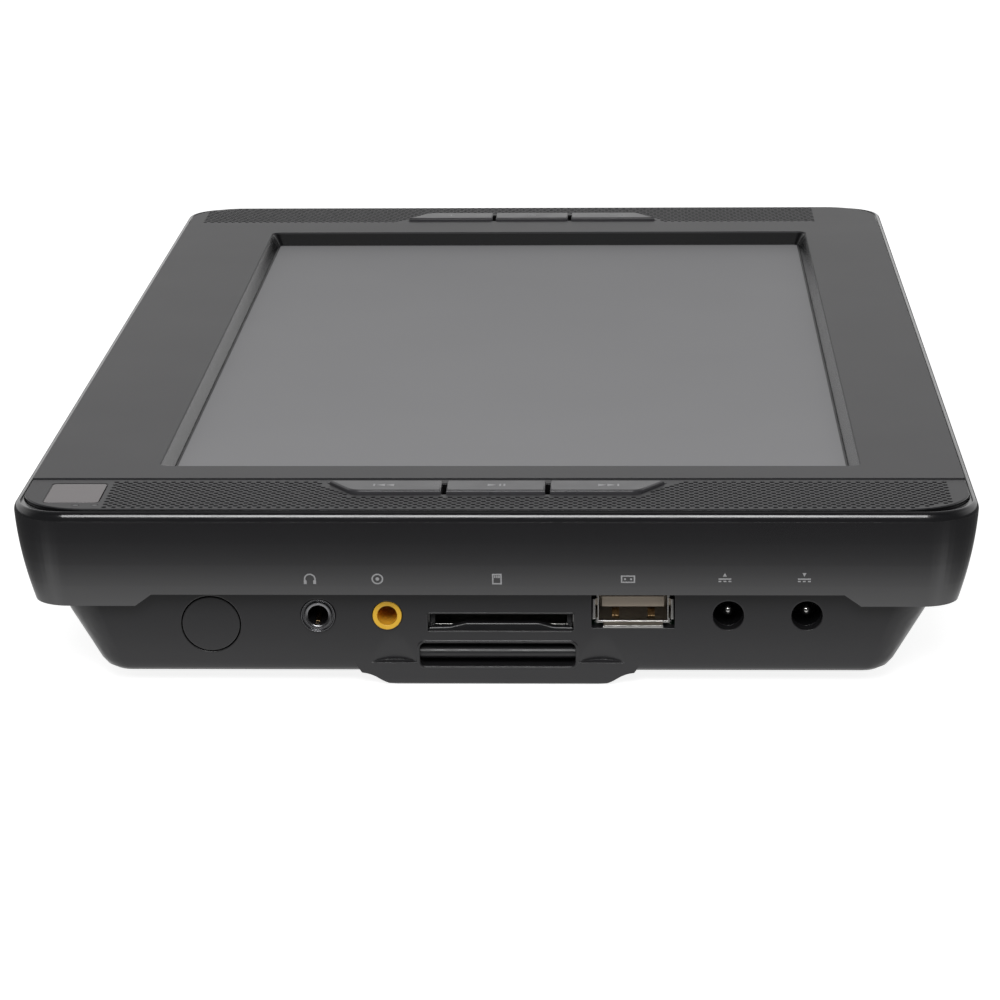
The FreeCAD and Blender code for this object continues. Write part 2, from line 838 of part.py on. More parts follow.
def screen_board():
    """Screen driver board, under the middle of the screen."""
    z0 = cover_top + 2.2
    return rounded_plate(42.0, 28.0, 1.0, z0, z0 + board_t)


def screen_board_parts():
    """Chips, coil and connector on the driver board."""
    z0 = cover_top + 2.2 + board_t
    places = ((-8.0, 8.0, -8.0, 8.0, 1.2), (-30.0, -22.0, 6.0, 14.0, 2.0), (18.0, 34.0, -12.0, -8.0, 1.6),
              (20.0, 26.0, 8.0, 14.0, 1.4))
    return [box(x0, x1, y0, y1, z0, z0 + tall) for x0, x1, y0, y1, tall in places]


# Lid lock: a thumb slider on the left skirt whose hooked tongue reaches down into the deck

lock_z = cover_top + 3.4
lock_plate_x = -half_w + skirt_inset(cover_top + 0.4, lid_wall) + 0.4
lock_plate_t = 1.4
toe_t = 1.6
toe_z = deck_under - 0.4 - toe_t
tongue_start_x = -(base_half_x(toe_z) - wall_across_x - lock_side_gap)
tongue_x = (tongue_start_x, tongue_start_x + lock_tongue_t)
tongue_y = (-6.0, -1.0)
toe_reach = 4.0


def lid_lock():
    """Knob, inner plate, foot, tongue and the toe that slides under the deck."""
    half = lock_knob_length / 2
    knob_x = -half_w + 0.6
    knob = box(knob_x, lock_plate_x, -half, half, lock_z - lock_knob_height / 2, lock_z + lock_knob_height / 2)
    grips = []
    for i in range(5):
        y = (i - 2) * 2.4
        grips.append(box(knob_x - 1, knob_x + 0.4, y - 0.4, y + 0.4, lock_z - 9, lock_z + 9))
    plate_z = (cover_top + 0.4, lock_z + 2.8)
    plate = box(lock_plate_x, lock_plate_x + lock_plate_t, -half - 2.5, half + 2.5, *plate_z)
    foot = box(lock_plate_x, tongue_x[1], tongue_y[0], tongue_y[1], plate_z[0], plate_z[0] + 1.4)
    tongue = box(tongue_x[0], tongue_x[1], tongue_y[0], tongue_y[1], toe_z, plate_z[0] + 1.4)
    toe = box(tongue_x[0], tongue_x[1], tongue_y[0], tongue_y[1] + toe_reach, toe_z, toe_z + toe_t)
    return fuse_all([knob.cut(Part.makeCompound(grips)), plate, foot, tongue, toe])


def lock_wall_slot():
    """Slot in the left skirt for the lock's knob and its travel."""
    half = lock_knob_length / 2 + 0.4
    tall = lock_knob_height / 2 + 0.4
    return box(-half_w - 1, -half_w + 8, -half, half + lock_travel, lock_z - tall, lock_z + tall)


def lock_cover_slot():
    """Slot in the inner cover for the tongue."""
    x0, x1 = tongue_x
    return box(x0 - 0.6, x1 + 0.6, tongue_y[0] - 0.6, tongue_y[1] + lock_travel + 0.6, cover_under - 1, cover_top + 1)


def lock_deck_slot():
    """Slot in the deck: the toe enters freely and slides under its end."""
    x0, x1 = tongue_x
    end = tongue_y[1] + toe_reach + 0.5
    return box(x0 - 0.8, x1 + 0.8, tongue_y[0] - 0.8, end, deck_under - 1, base_rim_z + 1)


def lock_guides():
    """Two ribs on the inner cover that hold the lock's plate against the skirt."""
    x0 = lock_plate_x + lock_plate_t + 0.25
    spans = ((-13.0, tongue_y[0] - 1.5), (tongue_y[1] + lock_travel + 1.5, 13.0))
    return [box(x0, x0 + 1.2, y0, y1, cover_top - 0.2, lock_z + 2.4) for y0, y1 in spans]


# Power switch: a slide knob on the left skirt near the sockets' end

power_y = near_y(power_from_near)
power_z = top_z - power_below_top
power_plate_x = -half_w + skirt_inset(power_z - 3.0, lid_wall) + 0.3
power_body_x = power_plate_x + 1.3


def power_knob():
    """Knob, sliding plate and the lever into the switch body."""
    half = power_knob_length / 2
    tall = power_knob_height / 2
    knob = box(-half_w - power_knob_proud, power_plate_x, power_y - half, power_y + half, power_z - tall, power_z + tall)
    edges = [e for e in knob.Edges if abs(e.Vertexes[0].X + half_w + power_knob_proud) < 0.01
             and abs(e.Vertexes[-1].X + half_w + power_knob_proud) < 0.01]
    knob = knob.makeFillet(0.35, edges)
    plate = box(power_plate_x, power_plate_x + 1.0, power_y - half - 2, power_y + half + 2, power_z - 2.6, power_z + 2.6)
    lever = box(power_plate_x, power_body_x + 2.0, power_y - 0.9, power_y + 0.9, power_z - 0.9, power_z + 0.9)
    return fuse_all([knob, plate, lever])


def power_wall_slot():
    """Slot in the left skirt for the power knob and its travel."""
    half = power_knob_length / 2 + 0.3
    tall = power_knob_height / 2 + 0.3
    return box(-half_w - 1, power_plate_x - 0.2, power_y - half, power_y + half + power_travel,
               power_z - tall, power_z + tall)


def power_switch_body():
    """Switch body with the slot that its lever runs in."""
    y0 = power_y - 6.0
    y1 = power_y + 6.0 + power_travel
    body = box(power_body_x, power_body_x + 5.0, y0, y1, power_z - 3.4, power_z + 3.4)
    slot = box(power_body_x - 1, power_body_x + 2.4, power_y - 1.3, power_y + 1.3 + power_travel,
               power_z - 1.3, power_z + 1.3)
    return body.cut(slot)


def power_switch_cradle():
    """Two ribs from the shelf that hold the switch body at its ends."""
    y0 = power_y - 6.0
    y1 = power_y + 6.0 + power_travel
    wall_x = -half_w + skirt_inset(power_z - 3.0, lid_wall) - 0.5
    arm_z = power_z + 3.0
    ribs = []
    for y in (y0 - 1.3, y1 + 0.1):
        arm = box(wall_x, power_body_x + 5.0, y, y + 1.2, arm_z, shelf_under_z + 0.2)
        ribs.append(arm.fuse(box(power_body_x, power_body_x + 5.0, y, y + 1.2, power_z - 3.0, arm_z + 0.1)))
    return ribs


# Base


def base_form(levels, wall_x, wall_y):
    """The tapering form of the base, or of its inside, through levels given as (height, extra inset)."""
    wires = []
    for z, inset in levels:
        hx = base_half_x(z) - wall_x - inset
        hy = base_half_y(z) - wall_y - inset
        corner = base_corner_r - max(wall_x, wall_y) - inset - 0.42 * (base_half_x(base_rim_z) - base_half_x(z))
        wires.append(rounded_wire(hx, hy, max(corner, 2.0), z))
    return Part.makeLoft(wires, True, True)


foot_steps = (1.0, 0.465, 0.12, 0.0)
side_tangent = side_fillet * (1 - math.sin(math.radians(side_lean)))
straight_low = back_z + side_tangent
outside_levels = [(base_rim_z, rim_chamfer), (base_rim_z - rim_chamfer, 0.0)]
outside_levels += [(back_z + side_tangent * s, 0.0) for s in foot_steps]


def face_y(z):
    """Y of the near wall's plane at a height, carried on past its rounded foot."""
    return -(half_l - base_half_inset_y - (base_rim_z - z) * math.tan(math.radians(end_lean)))


def strap_boss():
    """Near strap boss: flat foot, flaring sides, a face in the wall's plane and a ramp at its inner end."""
    rise = back_z
    run = boss_flare_half - boss_flat_half
    top = back_z + boss_top_above_back
    quarter = run / 4
    blend_x = boss_flare_half + quarter
    blend_z = back_z + end_fillet
    sides = []
    for s in (-1, 1):
        foot = V(s * boss_flat_half, 0, 0)
        mid = V(s * (boss_flat_half + run / 2), 0, rise / 2)
        back = V(s * boss_flare_half, 0, rise)
        low_arc = Part.Arc(foot, V(s * (boss_flat_half + quarter), 0, rise * 0.15), mid).toShape()
        high_arc = Part.Arc(mid, V(s * (boss_flare_half - quarter), 0, rise * 0.85), back).toShape()
        sides.append((low_arc, high_arc))
    edges = [
        Part.LineSegment(V(-boss_flat_half, 0, 0), V(boss_flat_half, 0, 0)).toShape(),
        sides[1][0], sides[1][1],
        Part.LineSegment(V(boss_flare_half, 0, rise), V(blend_x, 0, blend_z)).toShape(),
        Part.LineSegment(V(blend_x, 0, blend_z), V(boss_flat_half, 0, top)).toShape(),
        Part.LineSegment(V(boss_flat_half, 0, top), V(-boss_flat_half, 0, top)).toShape(),
        Part.LineSegment(V(-boss_flat_half, 0, top), V(-blend_x, 0, blend_z)).toShape(),
        Part.LineSegment(V(-blend_x, 0, blend_z), V(-boss_flare_half, 0, rise)).toShape(),
        sides[0][1], sides[0][0],
    ]
    front = boss_front_y()
    outline = Part.Face(Part.Wire(Part.__sortEdges__(edges)))
    outline.translate(V(strap_x, front - 1.0, 0))
    body = outline.extrude(V(0, boss_depth + 7.0, 0))
    lip_y = face_y(boss_lip) + boss_sink
    ramp = prism_x([
        (lip_y, boss_lip),
        (lip_y + boss_lip * 0.27, boss_lip * 0.3),
        (lip_y + boss_lip * 0.92, 0.0),
        (front + boss_depth, 0.0),
        (front + boss_depth + 5.0, back_z),
        (front + boss_depth + 5.0, top),
        (face_y(top) + boss_sink, top),
    ], -half_w, half_w)
    return body.common(ramp)


def boss_scoops():
    """Shallow hollows on both sides of the near strap slot, deepest at the foot and running out upwards."""
    low, high = scoop_z
    cuts = []
    for s in (-1, 1):
        x = strap_x + s * scoop_from_middle
        start = V(x, face_y(low) + scoop_depth - scoop_r, low)
        axis = V(x, face_y(high) - scoop_r, high) - start
        cuts.append(Part.makeCylinder(scoop_r, axis.Length, start, axis))
    return cuts


def boss_front_y():
    """Y of the near boss's upright face, where it meets the leaning wall at its top."""
    return -base_half_y(back_z + boss_top_above_back)


def strap_pocket(grow):
    """The near strap slot, or with a wall added round it the block that it is sunk in."""
    half = strap_slot_width / 2 + grow
    front = boss_front_y()
    z0 = strap_slot_bottom - grow
    z1 = strap_slot_bottom + strap_slot_height + grow
    start = front - 1.0 if grow == 0 else front + 1.0
    block = box(strap_x - half, strap_x + half, start, front + strap_pocket_depth + grow, z0, z1)
    if grow > 0:
        return block
    along = [e for e in block.Edges if abs(e.Vertexes[0].Y - e.Vertexes[-1].Y) > 1]
    return block.makeFillet(strap_slot_corner_r, along)


def base_posts():
    """Places of the case posts."""
    return [(sx * case_screws_x, y) for sx in (-1, 1) for y in case_screws_y]


damper_places = [(sx * (chassis_half_x - 4.5), y) for sx in (-1, 1) for y in (chassis_y[0] + 4.5, chassis_y[1] - 4.5)]


def base_knuckles():
    """Base knuckles, two at each hinge, with webs back to the side wall."""
    solids = []
    for side in (-1, 1):
        for step in (-1, 1):
            inner = side * hinge_centre_y + step * (lid_knuckle_half + knuckle_gap)
            outer = inner + step * base_knuckle_length
            y0, y1 = sorted((inner, outer))
            wall_high = base_half_x(hinge_z + 1.4)
            wall_low = base_half_x(hinge_z - 2.0)
            web = prism_y([
                (hinge_x, hinge_z + knuckle_r),
                (wall_high - 1.0, hinge_z + 1.4),
                (wall_low - 1.2, hinge_z - 2.0),
                (hinge_x, hinge_z - knuckle_r),
            ], y0, y1)
            solids.append(bar_y(hinge_x, hinge_z, y0, y1, knuckle_r).fuse(web))
    return solids


def base_shell():
    """Rear shell: leaning walls, strap bosses and pockets, posts, socket openings, vents and knuckles."""
    outside = base_form(outside_levels, 0.0, 0.0)
    inside = base_form([(base_rim_z, 0.0), (floor_z, 0.0)], wall_across_x, wall_across_y)
    shell = outside.cut(inside)
    boss = strap_boss()
    adds = [boss.cut(inside), mirror_y(boss).cut(inside)]
    pocket = strap_pocket(pocket_wall).common(outside)
    adds += [pocket, mirror_y(pocket)]
    for x, y in base_posts():
        adds.append(peg(x, y, floor_z - 0.2, board_under, case_post_r))
    for x, y in damper_places:
        adds.append(peg(x, y, floor_z - 0.2, damper_seat(), 3.0))
    adds += base_knuckles()
    shell = fuse_all([shell] + adds)
    cuts = [strap_pocket(0.0), mirror_y(strap_pocket(0.0))]
    for scoop in boss_scoops():
        cuts += [scoop, mirror_y(scoop)]
    cuts += strap_bar_holes()
    cuts += socket_openings()
    cuts += vents()
    for x, y in base_posts():
        cuts.append(peg(x, y, 0, board_under + 1, screw_r + 0.15))
        cuts.append(peg(x, y, 0, board_under - 1.6, case_screw_head_r + 0.3))
    for x, y in damper_places:
        cuts.append(peg(x, y, floor_z - 1.2, damper_seat() + 1, screw_r))
    room = knuckle_r + 0.4
    swing = lid_knuckle_half + knuckle_gap
    for y in (-hinge_centre_y, hinge_centre_y):
        cuts.append(bar_y(hinge_x, hinge_z, y - 9, y + 9, hinge_pin_r + 0.03))
        cuts.append(bar_y(hinge_x, hinge_z, y - swing, y + swing, room))
        cuts.append(box(hinge_x - room, half_w, y - swing, y + swing, hinge_z, base_rim_z + 1))
    return shell.cut(Part.makeCompound(cuts))


def strap_bar_holes():
    """Blind seats for the strap bars in the pocket's side walls."""
    half = strap_slot_width / 2 + pocket_wall - 0.3
    y = boss_front_y() + strap_bar_set_back
    z = strap_slot_bottom + strap_slot_height / 2
    hole = bar_x(y, z, strap_x - half, strap_x + half, strap_bar_r + 0.02)
    return [hole, mirror_y(hole)]


def strap_bars():
    """A steel bar across each strap slot."""
    half = strap_slot_width / 2 + pocket_wall - 0.5
    y = boss_front_y() + strap_bar_set_back
    z = strap_slot_bottom + strap_slot_height / 2
    bar = bar_x(y, z, strap_x - half, strap_x + half, strap_bar_r)
    return [bar, mirror_y(bar)]


def near_wall_y(z):
    """Y of the near wall's outer face at a height."""
    return -base_half_y(z)


def through_near_wall(x, z, radius):
    """A round hole through the near wall."""
    return bar_y(x, z, near_wall_y(z) - 3, near_wall_y(z) + 5, radius)


def socket_openings():
    """Holes in the near wall for the sockets and the blanking plug."""
    card_z = card_slot_height / 2
    card_x = card_slot_width / 2
    y0 = near_wall_y(jack_z) - 3
    y1 = y0 + 8
    usb_half = usb_width / 2 + usb_flare + 0.25
    usb_tall = usb_height / 2 + usb_flare + 0.1
    cuts = [
        through_near_wall(headphone_x, jack_z, headphone_ring_r + 0.1),
        through_near_wall(av_x, jack_z, av_nose_r + 0.1),
        through_near_wall(plug_x, plug_z, plug_r),
        box(card_slot_x - card_x, card_slot_x + card_x, y0, y1, card_slot_z - card_z, card_slot_z + card_z),
        box(usb_x - usb_half, usb_x + usb_half, y0, y1, usb_z - usb_tall, usb_z + usb_tall),
    ]
    cuts += [through_near_wall(x, jack_z, dc_bore_r + 0.05) for x in dc_x]
    return cuts


def vents():
    """Cooling slots through the back under the main board."""
    slots = []
    for i in range(8):
        x = (i - 3.5) * 8.0
        slots.append(box(x - 1.1, x + 1.1, -107.0, -85.0, 0, floor_z + 1))
    return slots


def damper_seat():
    """Height of the floor posts that carry the rubber dampers."""
    return chassis_top - chassis_t - damper_flange_t


def case_screws():
    """Screws from the back through the base posts into the deck."""
    seat = board_under - 1.6
    return [screw(x, y, seat - case_screw_head_t, seat, deck_under - 1.5, case_screw_head_r) for x, y in base_posts()]


def deck_plate():
    """Deck with the round disc well, finger notches, the loader's window and screw bosses."""
    inset_x = wall_across_x + deck_fit
    inset_y = wall_across_y + deck_fit
    half_x = base_half_x(deck_under) - inset_x
    half_y = base_half_y(deck_under) - inset_y
    corner = base_corner_r - inset_x
    plate = rounded_plate(half_x, half_y, corner, deck_under, base_rim_z)
    tub = post(0, 0, well_under, base_rim_z, well_r + well_wall)
    hollow = post(0, 0, well_floor, base_rim_z + 1, well_r)
    for y in (-finger_offset, finger_offset):
        tub = tub.fuse(post(0, y, well_under, base_rim_z, finger_r + well_wall))
        hollow = hollow.fuse(post(0, y, well_floor, base_rim_z + 1, finger_r))
    bosses = []
    for x, y in base_posts():
        low = main_board_top if y < -main_board_end else board_under
        bosses.append(peg(x, y, low, deck_under + 0.2, 3.0))
    solid = fuse_all([plate, tub] + bosses).cut(hollow)
    window_end = lens_rest_y + sled_travel + 4.1
    cuts = [
        post(0, 0, well_under - 1, well_floor + 1, spindle_window_r),
        box(-8.0, 8.0, 0, window_end, well_under - 1, well_floor + 1),
        lock_deck_slot(),
    ]
    for x, y in base_posts():
        cuts.append(peg(x, y, board_under - 1, deck_under - 1.0, screw_r + 0.05))
    cuts.append(usb_room())
    return solid.cut(Part.makeCompound(cuts))


def usb_room():
    """Recess in the deck's underside over the USB socket."""
    half = usb_width / 2 + 0.3
    top = usb_z + usb_height / 2 + 0.15
    mouth = near_wall_y(usb_z)
    return box(usb_x - half, usb_x + half, mouth - 1, mouth + usb_depth + 1.0, deck_under - 1, top)


def hinge_pins():
    """A steel pin through each hinge."""
    reach = lid_knuckle_half + knuckle_gap + base_knuckle_length
    return [bar_y(hinge_x, hinge_z, y - reach, y + reach, hinge_pin_r) for y in (-hinge_centre_y, hinge_centre_y)]


# Main board and sockets


def main_board():
    """Main board at the sockets' end, with holes at the posts and bays for the power jacks."""
    front = near_wall_y(board_under) + wall_across_y + 0.6
    half_x = base_half_x(board_under) - wall_across_x - 1.0
    board = rounded_plate(half_x, (-main_board_end - front) / 2, 8.0, board_under, main_board_top, 0.0,
                          (front - main_board_end) / 2)
    cuts = [peg(x, y, 0, 20, screw_r + 0.3) for x, y in base_posts() if y < -main_board_end]
    pocket = strap_slot_width / 2 + pocket_wall + 0.4
    cuts.append(box(strap_x - pocket, strap_x + pocket, front - 1,
                    boss_front_y() + strap_pocket_depth + pocket_wall + 0.4, 0, 20))
    plug = plug_collar_r + 0.4
    cuts.append(box(plug_x - plug, plug_x + plug, front - 1, front + plug_collar_t + 0.8, 0, 20))
    for x in dc_x:
        half = dc_body_width / 2 + 0.25
        cuts.append(box(x - half, x + half, front - 1, dc_front_y() + dc_body_depth + 0.25, 0, 20))
    return board.cut(Part.makeCompound(cuts))


def board_components():
    """Decoder chip, memory, coil, capacitors, the loader's ribbon connector and the lid sensor."""
    z = main_board_top
    parts = [
        box(-12.0, 8.0, -104.0, -84.0, z, z + 1.4),
        box(14.0, 25.0, -102.0, -84.0, z, z + 1.1),
        box(34.0, 43.0, -110.0, -101.0, z, z + 3.2),
        box(-34.0, -16.0, -80.0, -76.0, z, z + 2.0),
    ]
    for x, y in ((48.0, -94.0), (48.0, -84.0), (-42.0, -98.0)):
        parts.append(peg(x, y, z, z + 5.0, 3.2, 8))
    x, y = lid_sensor_place
    parts.append(box(x - 2.0, x + 2.0, y - 1.5, y + 1.5, z, z + 1.6))
    return parts


def jack_body(x, nose_r, bore_r, proud):
    """A jack: body on the board, nose through the wall, bore along Y."""
    wall = near_wall_y(jack_z)
    inner = wall + wall_across_y + 0.5
    body = box(x - 3.3, x + 3.3, inner, inner + 11.0, main_board_top, jack_z + 2.8)
    nose = bar_y(x, jack_z, wall - proud, inner + 0.2, nose_r)
    bore = bar_y(x, jack_z, wall - 3, inner + 9.5, bore_r)
    return body.fuse(nose).removeSplitter().cut(bore)


def headphone_jack():
    """Black headphone jack body behind its metal ring."""
    return jack_body(headphone_x, headphone_bore_r + 0.5, headphone_bore_r, 0.0)


def headphone_ring():
    """Metal ring round the headphone jack's mouth."""
    wall = near_wall_y(jack_z)
    ring_solid = bar_y(headphone_x, jack_z, wall - 0.35, wall + wall_across_y - 0.3, headphone_ring_r)
    return ring_solid.cut(bar_y(headphone_x, jack_z, wall - 3, wall + 9, headphone_bore_r + 0.52))


def av_jack():
    """Yellow picture-and-sound jack."""
    return jack_body(av_x, av_nose_r, av_bore_r, 0.3)


def card_cage():
    """Folded metal card cage on the board, open at the slot."""
    wall = near_wall_y(card_slot_z)
    y0 = wall + wall_across_y + 0.5
    half = card_cage_width / 2
    x = card_slot_x
    top = card_slot_z + 1.7
    cage = box(x - half, x + half, y0, y0 + card_cage_depth, main_board_top, top)
    throat = box(x - 12.3, x + 12.3, y0 - 1, y0 + card_cage_depth - 2.5, main_board_top + 0.4, top - 0.4)
    return cage.cut(throat)


def usb_tube(grow, y0, y1):
    """A rectangular tube's outside at a given growth."""
    half = usb_width / 2 + grow
    tall = usb_height / 2 + grow
    return box(usb_x - half, usb_x + half, y0, y1, usb_z - tall, usb_z + tall)


def usb_shell():
    """Folded metal socket shell with four flared lips at its mouth."""
    wall = near_wall_y(usb_z)
    mouth = wall + 0.25
    back = mouth + usb_depth
    shell = usb_tube(0.0, mouth + 1.0, back).cut(usb_tube(-usb_wall, mouth - 1, back - 1.0))
    lips = []
    half = usb_width / 2
    tall = usb_height / 2
    for s in (-1, 1):
        z = usb_z + s * tall
        outer = [(mouth, z + s * usb_flare), (mouth + 1.2, z), (mouth + 1.2, z - s * usb_wall),
                 (mouth, z + s * (usb_flare - usb_wall))]
        lips.append(prism_x(outer, usb_x - half + 1.2, usb_x + half - 1.2))
        x = usb_x + s * half
        outer = [(x + s * usb_flare, mouth), (x, mouth + 1.2), (x - s * usb_wall, mouth + 1.2),
                 (x + s * (usb_flare - usb_wall), mouth)]
        lips.append(prism_z(outer, usb_z - tall + 1.0, usb_z + tall - 1.0))
    legs = [box(usb_x + s * half - 0.4, usb_x + s * half + 0.4, mouth + 5, mouth + 8, main_board_top,
                usb_z - tall + 0.2) for s in (-1, 1)]
    return fuse_all([shell] + lips + legs)


def usb_tongue():
    """Plastic tongue and rear block inside the shell."""
    wall = near_wall_y(usb_z)
    mouth = wall + 0.25
    back = mouth + usb_depth - 1.0
    inner_half = usb_width / 2 - usb_wall - 0.02
    inner_tall = usb_height / 2 - usb_wall - 0.02
    tongue_top = usb_z + inner_tall - 0.55
    tongue = box(usb_x - tongue_width / 2, usb_x + tongue_width / 2, mouth + 1.6, back, tongue_top - tongue_t, tongue_top)
    block = box(usb_x - inner_half, usb_x + inner_half, back - 3.0, back, usb_z - inner_tall, usb_z + inner_tall)
    return tongue.fuse(block).removeSplitter()


def dc_front_y():
    """Y of the front of the power jacks' bodies."""
    return near_wall_y(jack_z) + wall_across_y + 0.75


def dc_jacks():
    """Two power jacks with round barrels open to the near wall."""
    y0 = dc_front_y()
    jacks = []
    for x in dc_x:
        half = dc_body_width / 2
        body = box(x - half, x + half, y0, y0 + dc_body_depth, jack_z - 4.3, jack_z + 2.88)
        body = body.cut(bar_y(x, jack_z, y0 - 1, y0 + dc_body_depth - 2.0, dc_bore_r))
        jacks.append(body)
    return jacks


def dc_pins():
    """Centre pin of each power jack, with a bevelled tip."""
    pins = []
    back = dc_front_y() + dc_body_depth - 2.0
    tip = near_wall_y(jack_z) + dc_pin_recess
    for x in dc_x:
        pin = bar_y(x, jack_z, tip, back, dc_pin_r)
        rim = [e for e in pin.Edges if abs(e.BoundBox.YMax - tip) < 0.01]
        pins.append(pin.makeChamfer(0.5, rim))
    return pins


def blanking_plug():
    """Round plug in the unused aerial hole, flush with the leaning wall, with a collar inside."""
    wall = near_wall_y(plug_z)
    pin = bar_y(plug_x, plug_z, wall - 3, wall + 1.9, plug_r - plug_groove)
    flush = pin.common(base_form([(base_rim_z, 0.0), (straight_low, 0.0)], 0.0, 0.0))
    collar = bar_y(plug_x, plug_z, wall + 1.7, wall + wall_across_y + plug_collar_t + 0.3, plug_collar_r)
    return flush.fuse(collar).removeSplitter()


# Disc loader under the well


def loader_chassis():
    """Stamped chassis with damper holes, an open middle and rod holders."""
    y0, y1 = chassis_y
    z0 = chassis_top - chassis_t
    plate = rounded_plate(chassis_half_x, (y1 - y0) / 2, 5.0, z0, chassis_top, 0.0, (y0 + y1) / 2)
    holders = []
    for sx in (-1, 1):
        for y in (rod_y[0], rod_y[1] - 3.0):
            x = sx * rod_x
            block = box(x - 2.4, x + 2.4, y, y + 3.0, chassis_top - 0.2, sled_top)
            holders.append(block.cut(bar_y(x, rod_z, y - 1, y + 4, rod_r + 0.02)))
    chassis = fuse_all([plate] + holders)
    cuts = [peg(x, y, z0 - 1, chassis_top + 1, damper_neck_r + 0.1) for x, y in damper_places]
    cuts.append(rounded_plate(14.0, 24.0, 3.0, z0 - 1, chassis_top + 1, 0.0, 46.0))
    bay = motor_can_r + 0.4
    cuts.append(box(screw_shaft_x - bay, screw_shaft_x + bay, rod_y[1] + 1.2, rod_y[1] + motor_can_length + 2.0,
                    z0 - 1, chassis_top + 1))
    cuts.append(post(0, 0, z0 - 1, chassis_top + 1, 5.0))
    return chassis.cut(Part.makeCompound(cuts))


def dampers():
    """Four rubber grommets that float the chassis."""
    rubbers = []
    seat = damper_seat()
    neck = damper_neck_r
    for x, y in damper_places:
        low = peg(x, y, seat, chassis_top - chassis_t, damper_r)
        mid = peg(x, y, chassis_top - chassis_t, chassis_top, neck)
        top = peg(x, y, chassis_top, chassis_top + damper_flange_t, damper_r)
        rubbers.append(fuse_all([low, mid, top]).cut(peg(x, y, 0, 20, damper_bore_r)))
    return rubbers


def damper_screws():
    """Shoulder screws through the grommets into the floor posts."""
    seat = chassis_top + damper_flange_t
    return [screw(x, y, seat + 1.0, seat, floor_z - 1.0, 2.9) for x, y in damper_places]


def spindle_base():
    """Spindle motor's base plate with its bearing tube."""
    plate = post(0, 0, chassis_top, chassis_top + 0.8, 12.0)
    tube = post(0, 0, chassis_top - 2.0, chassis_top + 3.2, 3.0)
    return fuse_all([plate, tube]).cut(post(0, 0, chassis_top - 1.4, 30, 1.05))


def stator_core():
    """Wound stator ring round the bearing tube."""
    poles = 6
    core = post(0, 0, chassis_top + 0.8, chassis_top + 2.6, 5.2)
    arms = []
    for i in range(poles):
        arm = box(0.0, rotor_r - 1.8, -1.1, 1.1, chassis_top + 1.0, chassis_top + 2.4)
        arm.rotate(V(0, 0, 0), V(0, 0, 1), 360.0 * i / poles)
        arms.append(arm)
    return fuse_all([core] + arms).cut(post(0, 0, 0, 30, 3.05))


def spindle_rotor():
    """Rotor bell and its shaft."""
    low = chassis_top + 1.4
    top = platter_top - 3.0
    bell = post(0, 0, low, top, rotor_r).cut(post(0, 0, low - 1, top - 0.9, rotor_r - 0.9))
    return bell.fuse(post(0, 0, chassis_top - 1.2, top, 1.0)).removeSplitter()


def turntable():
    """Platter with its rim, and the hub that centres the disc."""
    low = platter_top - 3.0
    profile = [
        (0.0, low), (platter_r - 1.0, low), (platter_r, low + 1.0), (platter_r, platter_top),
        (platter_r - 3.2, platter_top), (platter_r - 3.4, platter_top - 0.6), (hub_r + 0.4, platter_top - 0.6),
        (hub_r, platter_top - 0.2), (hub_r, platter_top + 1.5), (hub_r - 1.6, hub_top), (0.0, hub_top),
    ]
    corners = [V(r, 0, z) for r, z in profile]
    face = Part.Face(Part.makePolygon(corners + corners[:1]))
    body = face.revolve(V(0, 0, 0), V(0, 0, 1), 360)
    cuts = []
    for i in range(3):
        pocket = box(hub_r - 2.6, hub_r + 1.0, -1.3, 1.3, platter_top + 0.3, platter_top + 1.9)
        pocket.rotate(V(0, 0, 0), V(0, 0, 1), 120.0 * i)
        cuts.append(pocket)
    return body.cut(Part.makeCompound(cuts))


def chuck_claws():
    """Three sprung claws that grip the disc's bore."""
    claws = []
    z = platter_top + 0.4
    for i in range(3):
        claw = prism_y([(hub_r - 2.5, z), (hub_r - 0.1, z), (hub_r + 0.3, z + 0.7), (hub_r - 0.4, z + 1.3),
                        (hub_r - 2.5, z + 1.3)], -1.1, 1.1)
        claw.rotate(V(0, 0, 0), V(0, 0, 1), 120.0 * i)
        claws.append(claw)
    return claws


def guide_rods():
    """Two steel rods that carry the optical sled."""
    return [bar_y(sx * rod_x, rod_z, rod_y[0], rod_y[1], rod_r) for sx in (-1, 1)]


def pickup_sled():
    """Optical sled: bushes on both rods, a curved inner edge that clears the spindle, a lens tower."""
    y0 = lens_rest_y - sled_back
    y1 = lens_rest_y + sled_front
    body = box(-sled_half_x, sled_half_x, y0, y1, sled_bottom, sled_top)
    bushes = []
    for sx, long in zip((-1, 1), bush_length):
        x = sx * rod_x
        y_low = lens_rest_y + 2.0 - long / 2
        bush = box(x - 2.5, x + 2.5, y_low, y_low + long, sled_bottom - 0.3, sled_top)
        bushes.append(bush)
    tower = box(-5.0, 5.0, lens_rest_y - 3.5, lens_rest_y + 3.5, sled_top - 0.2, well_floor - 0.9)
    sled = fuse_all([body, tower] + bushes)
    cuts = [bar_y(sx * rod_x, rod_z, -10, 120, rod_r + rod_running) for sx in (-1, 1)]
    cuts.append(post(0, 0, 0, 40, sled_arc_r))
    cuts.append(post(0, lens_rest_y, sled_top - 1.6, 40, 2.6))
    cuts.append(box(-13.0, -6.0, y1 - 8.0, y1 - 2.0, sled_bottom - 1, sled_bottom + 1.4))
    cuts.append(box(6.0, 13.0, y1 - 8.0, y1 - 2.0, sled_bottom - 1, sled_bottom + 1.4))
    return sled.cut(Part.makeCompound(cuts))


def lens_guard():
    """Raised ring that shields the lens from the disc."""
    low = well_floor - 0.9
    guard = post(0, lens_rest_y, low, low + 0.6, 3.3)
    return guard.cut(post(0, lens_rest_y, 0, 40, 2.3))


